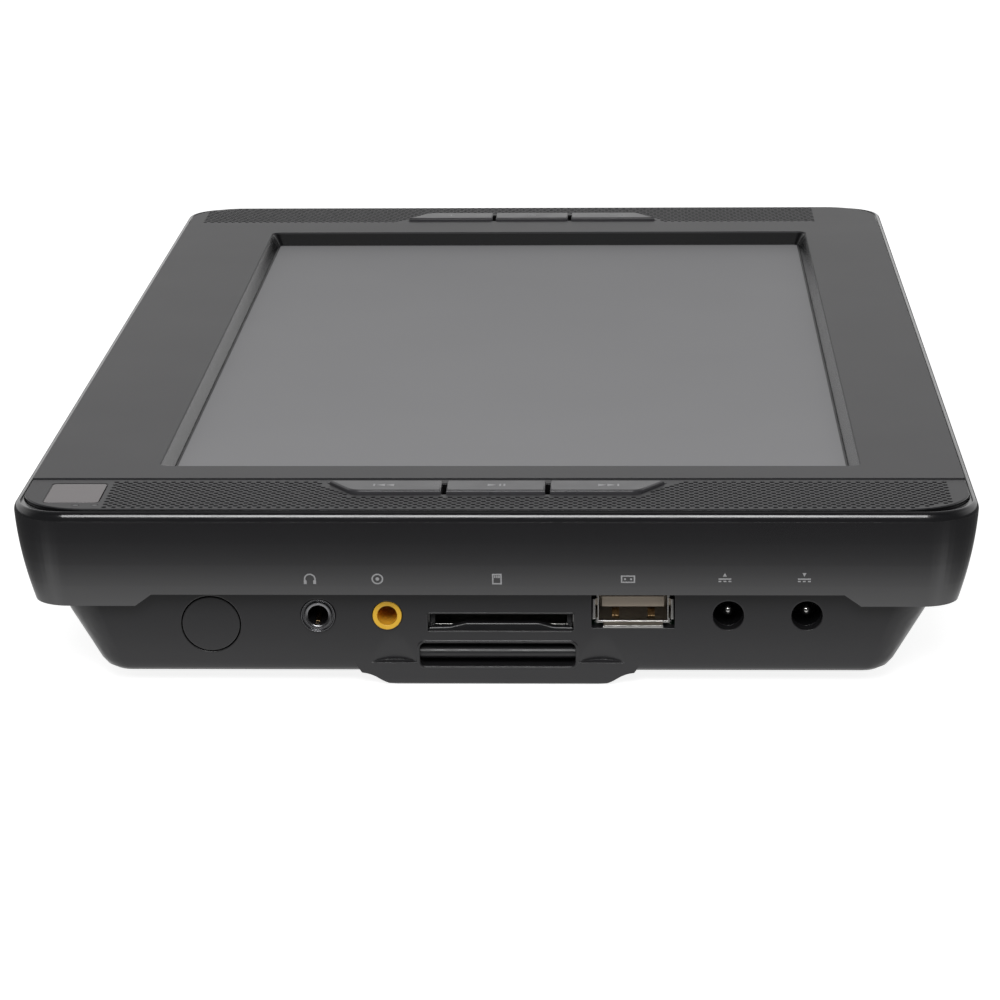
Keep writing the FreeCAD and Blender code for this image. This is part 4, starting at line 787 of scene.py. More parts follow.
def copy_of(node: str) -> Shape:
    """A merged copy of a CAD node's mesh, with flat areas joined up.

    Args:
        node: name of the CAD node.

    Returns:
        The copy.
    """
    bm = bmesh.new()
    bm.from_mesh(frame["nodes"][node].data)
    bmesh.ops.remove_doubles(bm, verts=bm.verts, dist=CAD_MERGE_MM * MM)
    bmesh.ops.recalc_face_normals(bm, faces=bm.faces)
    bmesh.ops.dissolve_limit(bm, angle_limit=math.radians(FLAT_DEG), verts=bm.verts, edges=bm.edges)
    return bm


def smooth_copy(node: str, palette: Palette) -> Piece:
    """A smooth-shaded piece that stands for a CAD node.

    Args:
        node: name of the CAD node.
        palette: the unit's finishes.

    Returns:
        The piece.
    """
    slot = next(s["material_slot"] for s in frame["record"]["subparts"] if s["node"] == node)
    piece = finish_piece(copy_of(node), node + "_smooth", body_of(node), palette.by_slot[slot])
    weigh_normals(piece)
    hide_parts(node)
    return piece


def only(kind: type, made: Iterable[object]) -> list:
    """The members of one kind in what an operation made."""
    return [g for g in made if isinstance(g, kind)]


def ends_of(edges: Iterable[Edge]) -> list[Vert]:
    """The ends of some edges, each of them once."""
    return list(dict.fromkeys(v for e in edges for v in e.verts))


def level(edge: Edge, z: float, room: float) -> bool:
    """Whether an edge lies at a height, to within some room, both in millimetres."""
    return all(abs(v.co.z - z * MM) < room * MM for v in edge.verts)


def chain(bm: Shape, points: Iterable[Triple], closed: bool = False) -> list[Edge]:
    """Edges from point to point.

    Args:
        bm: the shape to add to.
        points: places in millimetres.
        closed: whether the last point joins the first.

    Returns:
        The edges.
    """
    verts = [bm.verts.new([c * MM for c in point]) for point in points]
    after = verts[1:] + verts[:1] if closed else verts[1:]
    return [bm.edges.new(pair) for pair in zip(verts, after)]


def loop(bm: Shape, points: Sequence[Point], z: float) -> list[Edge]:
    """A closed loop of edges in a level plane, in millimetres."""
    return chain(bm, ((x, y, z) for x, y in points), closed=True)


def push(bm: Shape, edges: list[Edge], move: Vector) -> list[Edge]:
    """Extrude edges in a straight run.

    Args:
        bm: the shape.
        edges: the edges to extrude.
        move: the run in metres.

    Returns:
        The edges at the end of the run.
    """
    made = bmesh.ops.extrude_edge_only(bm, edges=edges)["geom"]
    moved = set(only(Vert, made))
    bmesh.ops.translate(bm, verts=list(moved), vec=move)
    return [e for e in only(Edge, made) if moved.issuperset(e.verts)]


def bevel(bm: Shape, edges: list[Edge], offset: float, segments: int) -> None:
    """Round edges off by a bevel whose offset is in millimetres."""
    bmesh.ops.bevel(
        bm, geom=edges, offset=offset * MM, segments=segments, profile=0.5, affect="EDGES", material=-1
    )


def spin(
    bm: Shape, edges: list[Edge], centre: Triple, axis: Triple, angle: float, steps: int, **how: object
) -> list[Edge]:
    """Spin edges round an axis.

    Args:
        bm: the shape.
        edges: the section to spin.
        centre: a point of the axis, in millimetres.
        axis: its direction.
        angle: the whole turn in radians.
        steps: steps in the turn.
        how: the operation's other settings.

    Returns:
        The section's edges at the end of the turn.
    """
    geom = edges + ends_of(edges)
    centre = [c * MM for c in centre]
    made = bmesh.ops.spin(bm, geom=geom, cent=centre, axis=axis, angle=angle, steps=steps, **how)
    return only(Edge, made["geom_last"])


def wall(bm: Shape, outline: Callable[[float], list[Point]], levels: Sequence[Point]) -> None:
    """A wall through several levels of one outline.

    Args:
        bm: the shape to add to.
        outline: gives the outline's corners at a growth in millimetres.
        levels: pairs of growth and height, from top to bottom.
    """
    loops = [loop(bm, outline(grow), z) for grow, z in levels]
    for upper, lower in zip(loops, loops[1:]):
        bmesh.ops.bridge_loops(bm, edges=upper + lower)


def cap(bm: Shape, z: float) -> None:
    """Close all open edges at one height with flat faces.

    Args:
        bm: the shape to close.
        z: height in millimetres.
    """
    edges = [e for e in bm.edges if e.is_boundary and level(e, z, LEVEL_MM)]
    bmesh.ops.triangle_fill(bm, edges=edges, use_beauty=True)


def circle_points(x: float, y: float, radius: float, steps: int) -> list[Point]:
    """Corners of a many-sided circle, in millimetres.

    Args:
        x: centre.
        y: centre.
        radius: radius.
        steps: number of corners.

    Returns:
        The corners.
    """
    turns = [2 * math.pi * (k + 0.5) / steps for k in range(steps)]
    return [(x + radius * math.cos(t), y + radius * math.sin(t)) for t in turns]


def rounded_rectangle(
    x: float, y: float, half_x: float, half_y: float, radius: float, steps: int = 8
) -> list[Point]:
    """Corners of a rounded rectangle, in millimetres.

    Args:
        x: centre.
        y: centre.
        half_x: half width.
        half_y: half length.
        radius: corner radius.
        steps: steps round each corner.

    Returns:
        The corners, anticlockwise.
    """
    points = []
    for quarter, (sx, sy) in enumerate(((1, 1), (-1, 1), (-1, -1), (1, -1))):
        hub_x = x + sx * (half_x - radius)
        hub_y = y + sy * (half_y - radius)
        for k in range(steps + 1):
            turn = math.pi / 2 * (quarter + k / steps)
            points.append((hub_x + radius * math.cos(turn), hub_y + radius * math.sin(turn)))
    return points


def half_turn(bm: Shape) -> None:
    """Turn a shape half round the unit's upright axis, from the near end to the far one."""
    bmesh.ops.rotate(bm, verts=bm.verts, cent=(0, 0, 0), matrix=Matrix.Rotation(math.pi, 3, "Z"))


# Sub-assemblies


@dataclass
class SubAssembly:
    """Part of the unit, made in the unit's finishes."""

    palette: Palette

    def finish(
        self,
        bm: Shape,
        name: str,
        body: str,
        slot: str,
        crease_deg: float = CREASE_DEG,
        material: Material | None = None,
    ) -> Piece:
        """Turn a shape into a piece in its slot's finish.

        Args:
            bm: the finished shape; it is freed.
            name: name of the piece.
            body: body that it rides on.
            slot: slot of the record that its finish comes from.
            crease_deg: edges that turn more than this stay sharp.
            material: another finish than the slot's own.

        Returns:
            The piece.
        """
        return finish_piece(bm, name, body, material or self.palette.by_slot[slot], crease_deg)


@dataclass
class RimBead(SubAssembly):
    """Polished bead round the lid, with the floor of the groove between it and the top plates."""

    half_x: float = UNIT_HALF[0]
    half_y: float = UNIT_HALF[1]
    corner: float = UNIT_CORNER
    foot_z: float = 32.8
    shoulder: float = 0.1
    face_r: float = 2.23
    face_deg: float = 27.0
    crown_r: float = 1.0
    crown_deg: float = 82.4
    lip_r: float = 0.14
    lip_deg: float = 165.0
    crown_inset: float = 1.0
    groove_z: float = 34.0
    groove_overlap: float = 0.08
    plates_inset: float = 1.3
    plates_corner: float = 12.17
    arc_steps: int = 8
    corner_steps: int = 18

    def section(self) -> list[Point]:
        """Section of the bead as (inset, height) points in millimetres.

        Returns:
            The section's corners, from the outer foot over the curve to the inner foot.
        """
        inset = 0.0
        z = self.foot_z + self.shoulder
        points = [(0.0, self.foot_z), (inset, z)]
        arcs = (
            (self.face_r, 0.0, self.face_deg),
            (self.crown_r, self.face_deg, self.crown_deg),
            (self.lip_r, self.crown_deg, self.lip_deg),
        )
        for radius, start, end in arcs:
            for k in range(self.arc_steps):
                turn, after = (math.radians(start + (end - start) * m / self.arc_steps) for m in (k, k + 1))
                inset += radius * (math.cos(turn) - math.cos(after))
                z += radius * (math.sin(after) - math.sin(turn))
                points.append((inset, z))
        points.append((inset, self.foot_z))
        return points

    def build(self) -> Piece:
        """Sweep the section round the outline, with a spin at each corner, and lay the groove's floor.

        Returns:
            The piece.
        """
        bm = bmesh.new()
        side = self.half_x - self.corner
        long_side = self.half_y - self.corner
        last = chain(bm, ((0.0, inset - self.half_y, z) for inset, z in self.section()), closed=True)
        hubs = [(sx * side, sy * long_side) for sx, sy in ((1, -1), (1, 1), (-1, 1), (-1, -1))]
        direction = Vector((1, 0, 0))
        for run, hub in zip((side, 2 * long_side, 2 * side, 2 * long_side), hubs):
            last = push(bm, last, direction * run * MM)
            last = spin(bm, last, (*hub, 0.0), (0, 0, 1), math.pi / 2, self.corner_steps)
            direction = Matrix.Rotation(math.pi / 2, 3, "Z") @ direction
        push(bm, last, direction * side * MM)
        bmesh.ops.remove_doubles(bm, verts=bm.verts, dist=MERGE_MM * MM)
        self.groove_floor(bm)
        piece = self.finish(bm, "rim_bead", "lid", "rim_trim", crease_deg=40.0)
        weigh_normals(piece)
        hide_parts("rim_trim")
        return piece

    def groove_floor(self, bm: Shape) -> None:
        """Add the groove's floor, from under the bead to the plates' edge.

        Args:
            bm: the shape to add to.
        """
        under = self.crown_inset - self.groove_overlap
        for inset, corner in ((under, self.corner - under), (self.plates_inset, self.plates_corner)):
            half = (self.half_x - inset, self.half_y - inset)
            outline = rounded_rectangle(0, 0, *half, corner, self.corner_steps)
            wall(bm, lambda grow, outline=outline: outline, [(0.0, self.groove_z), (0.0, self.foot_z)])
        cap(bm, self.groove_z)
        cap(bm, self.foot_z)


@dataclass
class LidShell(SubAssembly):
    """Lid shell whose skirt is brought from the CAD's facets to its true curve."""

    half_x: float = UNIT_HALF[0]
    half_y: float = UNIT_HALF[1]
    corner: float = UNIT_CORNER
    top_z: float = 32.8
    low_z: float = 16.4
    taper: float = 3.3
    bulge_share: float = 0.34
    skin: float = 0.12
    levels: int = 12
    corner_cuts: int = 14
    room: float = 0.01

    def inset(self, z: float) -> float:
        """How far the skirt's face lies inside the widest outline at a height.

        Args:
            z: height in millimetres.

        Returns:
            The inset in millimetres.
        """
        share = (self.top_z - z) / (self.top_z - self.low_z)
        return self.taper * ((4 * self.bulge_share - 1) * share + (2 - 4 * self.bulge_share) * share ** 2)

    def depth(self, x: float, y: float) -> float:
        """How far a place lies inside the widest outline.

        Args:
            x: place in millimetres.
            y: place in millimetres.

        Returns:
            The depth in millimetres.
        """
        dx = abs(x) - (self.half_x - self.corner)
        dy = abs(y) - (self.half_y - self.corner)
        if dx > 0 and dy > 0:
            return self.corner - math.hypot(dx, dy)
        return self.corner - max(dx, dy)

    def on_skin(self, vert: Vert) -> bool:
        """Whether a corner of the mesh lies on the skirt's outer face.

        Args:
            vert: the corner.

        Returns:
            True on the skirt.
        """
        x, y, z = (c / MM for c in vert.co)
        if not self.low_z - self.room < z < self.top_z + self.room:
            return False
        return abs(self.depth(x, y) - self.inset(z)) < self.skin

    def snap(self, vert: Vert) -> None:
        """Move a corner of the mesh straight in or out onto the true curve.

        Args:
            vert: the corner.
        """
        x, y, z = (c / MM for c in vert.co)
        move = self.inset(z)
        hub_x = self.half_x - self.corner
        hub_y = self.half_y - self.corner
        dx = abs(x) - hub_x
        dy = abs(y) - hub_y
        if dx > 0 and dy > 0:
            scale = (self.corner - move) / math.hypot(dx, dy)
            x = math.copysign(hub_x + dx * scale, x)
            y = math.copysign(hub_y + dy * scale, y)
        elif dx > dy:
            x = math.copysign(self.half_x - move, x)
        else:
            y = math.copysign(self.half_y - move, y)
        vert.co.x = x * MM
        vert.co.y = y * MM

    def slice(self, bm: Shape, faces: Iterable[Face], place: Vector, normal: Vector) -> None:
        """Cut those of some faces that lie on the skirt by a plane, keeping both sides.

        Args:
            bm: the shape.
            faces: the faces.
            place: a point of the plane.
            normal: the plane's normal.
        """
        skin = [f for f in faces if all(self.on_skin(v) for v in f.verts)]
        edges = {e for f in skin for e in f.edges}
        verts = {v for f in skin for v in f.verts}
        geom = [*skin, *edges, *verts]
        bmesh.ops.bisect_plane(bm, geom=geom, dist=LEVEL_MM * MM, plane_co=place, plane_no=normal)

    def build(self) -> Piece:
        """Cut the skirt at even heights and round its corners, and bring the cuts onto the curve.

        Returns:
            The piece.
        """
        bm = copy_of("lid_shell")
        for k in range(1, self.levels):
            z = (self.low_z + (self.top_z - self.low_z) * k / self.levels) * MM
            crossed = [f for f in bm.faces if min(v.co.z for v in f.verts) < z < max(v.co.z for v in f.verts)]
            self.slice(bm, crossed, Vector((0, 0, z)), Vector((0, 0, 1)))
        for sx, sy in ((1, 1), (-1, 1), (-1, -1), (1, -1)):
            hub = Vector((sx * (self.half_x - self.corner), sy * (self.half_y - self.corner), 0)) * MM
            room = self.room * MM
            for k in range(1, self.corner_cuts):
                turn = math.pi / 2 * k / self.corner_cuts
                normal = Vector((sx * math.sin(turn), -sy * math.cos(turn), 0))
                near = [
                    f for f in bm.faces
                    if all((v.co.x - hub.x) * sx > -room and (v.co.y - hub.y) * sy > -room for v in f.verts)
                ]
                self.slice(bm, near, hub, normal)
        for vert in bm.verts:
            if self.on_skin(vert):
                self.snap(vert)
        piece = self.finish(bm, "lid_shell_smooth", "lid", "skirt", crease_deg=28.0)
        weigh_normals(piece)
        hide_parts("lid_shell")
        return piece


@dataclass
class ScreenGapShade(SubAssembly):
    """Thin black strip where the screen meets the opening of its bezel: painted shade, a dark piece standing
    in for the shadow in the gap between bezel and glass.
    """

    centre: Point = (1.9, -1.8)
    half: Point = (62.85, 111.1)
    corner: float = 1.2
    insets: Point = (0.02, 0.42)
    screen_z: float = 32.1
    thickness: float = 0.14
    crown: float = 0.05

    def outline(self, inset: float, grow: float) -> list[Point]:
        """One of the shade strip's outlines.

        Args:
            inset: how far it lies inside the opening.
            grow: how much larger than that it is.

        Returns:
            The corners.
        """
        off = grow - inset
        return rounded_rectangle(*self.centre, self.half[0] + off, self.half[1] + off, self.corner + off)

    def build(self) -> Piece:
        """Raise the shade strip's outer and inner faces and close its top.

        Returns:
            The piece.
        """
        bm = bmesh.new()
        top = self.screen_z + self.thickness
        for inset, sign in zip(self.insets, (-1.0, 1.0)):
            levels = [(sign * self.crown, top), (0.0, top - self.crown), (0.0, self.screen_z)]
            wall(bm, partial(self.outline, inset), levels)
        cap(bm, top)
        cap(bm, self.screen_z)
        return self.finish(bm, "screen_gap_shade", "lid", "inner_plastic", crease_deg=40.0)


@dataclass
class KeyGroup:
    """Outline of the three keys: a trapezoid with its wide side towards the screen."""

    centre_x: float = 0.1
    wide_half: float = 30.6
    narrow_half: float = 25.6
    inner_y: float = 126.48
    outer_y: float = 134.08
    slant: float = 1.1

    def outline(self, grow: float) -> list[Point]:
        """Corners of the near group's opening, in millimetres.

        Args:
            grow: how much larger than the opening.

        Returns:
            The four corners.
        """
        wide = self.wide_half + grow
        narrow = self.narrow_half + grow
        return [
            (self.centre_x - wide, -self.inner_y + grow),
            (self.centre_x - narrow, -self.outer_y - grow),
            (self.centre_x + narrow, -self.outer_y - grow),
            (self.centre_x + wide, -self.inner_y + grow),
        ]

    def covers(self, x: float, y: float, margin: float) -> bool:
        """Whether a place lies in the opening or within a margin of it.

        Args:
            x: place in millimetres.
            y: place in millimetres.
            margin: margin in millimetres.

        Returns:
            True inside the widened outline.
        """
        if not -self.outer_y - margin < y < -self.inner_y + margin:
            return False
        share = (y + self.outer_y) / (self.outer_y - self.inner_y)
        half = self.narrow_half + (self.wide_half - self.narrow_half) * share + margin * self.slant
        return abs(x - self.centre_x) < half


@dataclass
class SpeakerStrip(SubAssembly):
    """Speaker strip with its whole field of sound holes, key opening and, at the near end, the window."""

    end: End
    half_x: float = 84.58
    corner: float = 12.0
    seam_y: float = 123.68
    outer_y: float = 144.18
    top_z: float = 34.8
    foot_z: float = 32.8
    edge: float = 0.2
    column: float = 0.86
    pitch: float = 1.92
    hole_r: float = 0.49
    hole_lip: float = 0.05
    hole_sides: int = 8
    corner_room: float = 1.2
    corner_steps: int = 12
    field_x: Point = (-68.95, 81.2)
    field_y: Point = (-142.9, -125.5)
    keys: KeyGroup = field(default_factory=KeyGroup)
    key_margin: float = 1.2
    window: tuple[float, float, float, float] = (-75.4, -133.15, 5.0, 6.6)
    pips: Point = (-74.2, -70.8)
    pip_y: float = -141.65
    pip_r: float = 0.6
    pip_sides: int = 16
    window_corner: float = 0.9
    cloth_patches: tuple[Point, ...] = ((-68.6, -32.8), (33.0, 78.8))
    cloth_y: Point = (-138.5, -124.2)
    cloth_depths: Point = (0.03, 0.3)
    cloth_corner: float = 1.5

    def outline(self, grow: float) -> list[Point]:
        """Outline of the strip: square at the seam and rounded at the unit's end.

        Args:
            grow: how much larger than the strip.

        Returns:
            The corners.
        """
        half = self.half_x + grow
        radius = self.corner + grow
        points = [(-half, -self.seam_y + grow)]
        for hub_sign, start in ((-1, math.pi), (1, 1.5 * math.pi)):
            hub = (hub_sign * (self.half_x - self.corner), -self.outer_y + self.corner)
            for k in range(self.corner_steps + 1):
                turn = start + math.pi / 2 * k / self.corner_steps
                points.append((hub[0] + radius * math.cos(turn), hub[1] + radius * math.sin(turn)))
        points.append((half, -self.seam_y + grow))
        return points

    def hole_places(self) -> Iterable[Point]:
        """Places of the sound holes, in staggered columns.

        Yields:
            Centres in millimetres.
        """
        columns = int((self.field_x[1] - self.field_x[0]) / self.column)
        rows = int((self.field_y[1] - self.field_y[0]) / self.pitch)
        for i in range(columns + 1):
            x = self.field_x[0] + i * self.column
            for j in range(rows + 1):
                y = self.field_y[0] + (j + 0.5 * (i % 2)) * self.pitch
                if y < self.field_y[1] and self.inside(x, y) and not self.keys.covers(x, y, self.key_margin):
                    yield x, y

    def inside(self, x: float, y: float) -> bool:
        """Whether a hole clears the strip's rounded corners.

        Args:
            x: its place in millimetres.
            y: its place in millimetres.

        Returns:
            True inside the corners.
        """
        dx = abs(x) - (self.half_x - self.corner)
        dy = -y - (self.outer_y - self.corner)
        return dx < 0 or dy < 0 or math.hypot(dx, dy) < self.corner - self.corner_room

    def add_holes(self, bm: Shape) -> None:
        """Add each sound hole's wall with its lip, by extruding small rings.

        Args:
            bm: the shape to add to.
        """
        ring_r = self.hole_r + self.hole_lip
        edges = []
        for x, y in self.hole_places():
            edges += loop(bm, circle_points(x, y, ring_r, self.hole_sides), self.top_z)
        edges = push(bm, edges, Vector((0, 0, -self.hole_lip * MM)))
        self.shrink_rings(edges, self.hole_r / ring_r)
        push(bm, edges, Vector((0, 0, -(self.top_z - self.foot_z - self.hole_lip) * MM)))

    @staticmethod
    def shrink_rings(edges: list[Edge], scale: float) -> None:
        """Scale each separate ring of edges about its own middle.

        Args:
            edges: edges of the rings.
            scale: factor.
        """
        after: dict[Vert, list[Vert]] = {}
        for edge in edges:
            for a, b in (edge.verts, reversed(edge.verts)):
                after.setdefault(a, []).append(b)
        left = set(after)
        while left:
            ring = [left.pop()]
            while step := next((v for v in after[ring[-1]] if v in left), None):
                left.remove(step)
                ring.append(step)
            middle = sum((v.co for v in ring), Vector()) / len(ring)
            for vert in ring:
                vert.co = middle + (vert.co - middle) * scale

    def build(self) -> Piece:
        """Raise the walls, copy the holes and close the top and the underside.

        Returns:
            The piece.
        """
        bm = bmesh.new()
        below = [(0.0, self.top_z - self.edge), (0.0, self.foot_z)]
        chamfer = [(-self.edge, self.top_z), *below]
        inward = [(self.edge, self.top_z), *below]
        wall(bm, self.outline, chamfer)
        wall(bm, self.keys.outline, inward)
        if self.end is End.NEAR:
            x, y, half_x, half_y = self.window
            r = self.window_corner
            wall(bm, lambda grow: rounded_rectangle(x, y, half_x + grow, half_y + grow, r + grow), inward)
            for pip in self.pips:
                wall(bm, partial(self.pip_outline, pip), inward)
        self.add_holes(bm)
        cap(bm, self.top_z)
        cap(bm, self.foot_z)
        if self.end is End.FAR:
            half_turn(bm)
        name = self.end.value + "_speaker_strip"
        piece = self.finish(bm, name, "lid", "top_plates", crease_deg=40.0)
        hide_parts(self.end.value + "_grille")
        return piece

    def pip_outline(self, x: float, grow: float) -> list[Point]:
        """Outline of a pip's hole, which grows half as much as the strip's other openings."""
        return circle_points(x, self.pip_y, self.pip_r + grow * 0.5, self.pip_sides)

    def cloth(self) -> Piece:
        """Acoustic cloth behind the strip, where the shelf leaves it open.

        Returns:
            The piece.
        """
        bm = bmesh.new()
        low, high = self.cloth_y
        levels = [self.foot_z - depth for depth in self.cloth_depths]
        for x0, x1 in self.cloth_patches:
            half = ((x1 - x0) / 2, (high - low) / 2)
            patch = rounded_rectangle((x0 + x1) / 2, (low + high) / 2, *half, self.cloth_corner)
            wall(bm, lambda grow, patch=patch: patch, [(0.0, z) for z in levels])
        for z in levels:
            cap(bm, z)
        if self.end is End.FAR:
            half_turn(bm)
        name = self.end.value + "_grille_cloth"
        return self.finish(bm, name, "lid", "speaker_cone", material=self.palette.cloth)


@dataclass
class KeyCaps(SubAssembly):
    """The six key caps, with rounded top edges and a printed sign each."""

    edge: float = 0.35
    top_z: float = 35.5
    edge_steps: int = 4
    sharp_deg: float = 60.0
    sign_size: float = 1.5
    ink: float = 0.03
    signs: dict[str, Sign] = field(default_factory=lambda: {
        "previous_key": Sign.BACK,
        "play_key": Sign.PLAY,
        "next_key": Sign.NEXT,
        "volume_down_key": Sign.MINUS,
        "menu_key": Sign.MENU,
        "volume_up_key": Sign.PLUS,
    })

    def build(self) -> list[Piece]:
        """Make each cap and print its sign.

        Returns:
            The pieces.
        """
        pieces = []
        for node, sign in self.signs.items():
            pieces.append(self.cap(node))
            pieces.append(self.sign(node, sign))
        return pieces

    def cap(self, node: str) -> Piece:
        """A key cap with its upper edges bevelled.

        Args:
            node: CAD node that it stands for.

        Returns:
            The piece.
        """
        bm = copy_of(node)
        top = [e for e in bm.edges if level(e, self.top_z, room=0.01)]
        rim = [e for e in top if e.calc_face_angle(0.0) > math.radians(self.sharp_deg)]
        bevel(bm, rim, self.edge, self.edge_steps)
        piece = self.finish(bm, node + "_cap", node, "keys", crease_deg=35.0)
        weigh_normals(piece)
        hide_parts(node)
        return piece

    def sign(self, node: str, sign: Sign) -> Piece:
        """The sign printed on a key.

        Args:
            node: the key.
            sign: what is printed.

        Returns:
            The piece.
        """
        low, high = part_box(node)
        x = (low[0] + high[0]) / 2 / MM
        y = (low[1] + high[1]) / 2 / MM
        bm = bmesh.new()
        for shape in sign_shapes(sign, self.sign_size):
            print_shape(bm, [(x + px, y + py) for px, py in shape], self.top_z, self.ink)
        return self.finish(bm, node + "_sign", node, "light_guide_pips", material=self.palette.ink)


def upright(points: Sequence[Point], lift: float) -> list[Point]:
    """A sideways shape turned a quarter anticlockwise and lifted.

    Args:
        points: corners.
        lift: how far it is lifted.

    Returns:
        The corners.
    """
    return [(-y, x + lift) for x, y in points]


def arc_band(inner: float, outer: float, start_deg: float, end_deg: float, steps: int = 14) -> list[Point]:
    """A band round the origin between two angles.

    Args:
        inner: inner radius.
        outer: outer radius.
        start_deg: where it starts.
        end_deg: where it ends.
        steps: steps along it.

    Returns:
        Its corners in millimetres.
    """
    turns = [math.radians(start_deg + (end_deg - start_deg) * k / steps) for k in range(steps + 1)]
    out = [(outer * math.cos(t), outer * math.sin(t)) for t in turns]
    back = [(inner * math.cos(t), inner * math.sin(t)) for t in reversed(turns)]
    return out + back


def frame_bars(half_x: float, half_y: float, stroke: float) -> list[list[Point]]:
    """The four strokes of a rectangle round the origin.

    Args:
        half_x: half width.
        half_y: half height.
        stroke: width of a stroke.

    Returns:
        One outline for each stroke.
    """
    upright_x = half_x - stroke / 2
    level_y = half_y - stroke / 2
    sides = [bar(sx * upright_x, 0, stroke, 2 * half_y) for sx in (-1, 1)]
    return sides + [bar(0, sy * level_y, 2 * (half_x - stroke), stroke) for sy in (-1, 1)]


def triangle(x: float, size: float, direction: int) -> list[Point]:
    """A triangle that points left (-1) or right (+1).

    Args:
        x: middle of the triangle.
        size: its height.
        direction: -1 or +1.

    Returns:
        Its corners in millimetres.
    """
    half = size / 2
    return [(x - direction * half, -half), (x + direction * half, 0.0), (x - direction * half, half)]


def bar(x: float, y: float, width: float, height: float) -> list[Point]:
    """An upright rectangle round a centre.

    Args:
        x: centre.
        y: centre.
        width: width.
        height: height.

    Returns:
        Its corners in millimetres.
    """
    return [
        (x - width / 2, y - height / 2),
        (x + width / 2, y - height / 2),
        (x + width / 2, y + height / 2),
        (x - width / 2, y + height / 2),
    ]


def sign_shapes(sign: Sign, size: float) -> list[list[Point]]:
    """Outlines of a sign round the origin.

    Args:
        sign: the sign.
        size: its height in millimetres.

    Returns:
        One outline for each stroke.
    """
    thin = size * 0.22
    fine = size * 0.12
    half = size / 2
    box = size * 0.34
    lift = size * 0.42
    dashes = [bar(x * size, -size * 0.2, size * 0.24, fine) for x in (-0.42, 0.0, 0.42)]
    direct_current = [bar(0, 0.02 * size, size * 1.08, fine)] + dashes
    ring = [arc_band(half - fine, half, start, start + 180) for start in (0, 180)]
    pads = [bar(s * half * 0.8, -half * 0.62, fine * 2, half * 0.7) for s in (-1, 1)]
    contacts = [bar(x * size, size * 0.22, fine, size * 0.24) for x in (-0.18, 0.0, 0.18)]
    windows = [bar(x * size, 0, size * 0.16, size * 0.16) for x in (-0.26, 0.26)]
    uprights = [bar(0, s * size * 0.36, thin, size * 0.48) for s in (1, -1)]
    return {
        Sign.EAR: [arc_band(half - fine, half, -20, 200), *pads],
        Sign.ROUND_PLUG: [*ring, circle_points(0, 0, size * 0.16, 12)],
        Sign.CARD: frame_bars(half * 0.82, half, fine) + contacts,
        Sign.FLAT_PLUG: frame_bars(half * 1.2, half * 0.7, fine) + windows,
        Sign.POWER_OUT: [*direct_current, upright(triangle(0, box, 1), lift)],
        Sign.POWER_IN: [*direct_current, upright(triangle(0, box, -1), lift)],
        Sign.BACK: [bar(-size * 1.3, 0, thin, size)] + [triangle(x * size, size, -1) for x in (-0.5, 0.6)],
        Sign.PLAY: [triangle(-size * 0.5, size, 1)] + [bar(x * size, 0, thin, size) for x in (0.5, 1.0)],
        Sign.NEXT: [triangle(x * size, size, 1) for x in (-0.6, 0.5)] + [bar(size * 1.3, 0, thin, size)],
        Sign.MINUS: [bar(0, 0, size * 1.2, thin)],
        Sign.MENU: [bar(0, y * size, size * 1.3, thin * 0.8) for y in (-0.4, 0.0, 0.4)],
        Sign.PLUS: [bar(0, 0, size * 1.2, thin), *uprights],
    }[sign]


def print_shape(bm: Shape, points: Sequence[Point], z: float, thickness: float) -> None:
    """A thin printed shape on a level surface.

    Args:
        bm: the shape to add to.
        points: corners in millimetres.
        z: height of the surface in millimetres.
        thickness: thickness of the print in millimetres.
    """
    edges = loop(bm, points, z)
    face = bmesh.ops.contextual_create(bm, geom=edges)["faces"][0]
    raised = bmesh.ops.extrude_face_region(bm, geom=[face])["geom"]
    bmesh.ops.translate(bm, verts=only(Vert, raised), vec=(0, 0, thickness * MM))


@dataclass
class SocketSigns(SubAssembly):
    """Generic signs printed on the skirt, one over each socket."""

    shell: LidShell
    z: float = 21.9
    size: float = 2.1
    ink: float = 0.02
    places: dict[Sign, float] = field(default_factory=lambda: {
        Sign.EAR: -32.6,
        Sign.ROUND_PLUG: -20.6,
        Sign.CARD: 0.6,
        Sign.FLAT_PLUG: 23.8,
        Sign.POWER_OUT: 40.9,
        Sign.POWER_IN: 54.9,
    })

    def build(self) -> Piece:
        """Print every sign on the skirt's curve.

        Returns:
            The piece.
        """
        bm = bmesh.new()
        for sign, x in self.places.items():
            for shape in sign_shapes(sign, self.size):
                print_shape(bm, [(x + px, self.z + py) for px, py in shape], 0.0, self.ink)
        for vert in bm.verts:
            across, up, proud = vert.co / MM
            vert.co = Vector((across, self.shell.inset(up) - self.shell.half_y - proud, up)) * MM
        return self.finish(bm, "socket_signs", "lid", "skirt", crease_deg=20.0, material=self.palette.ink)


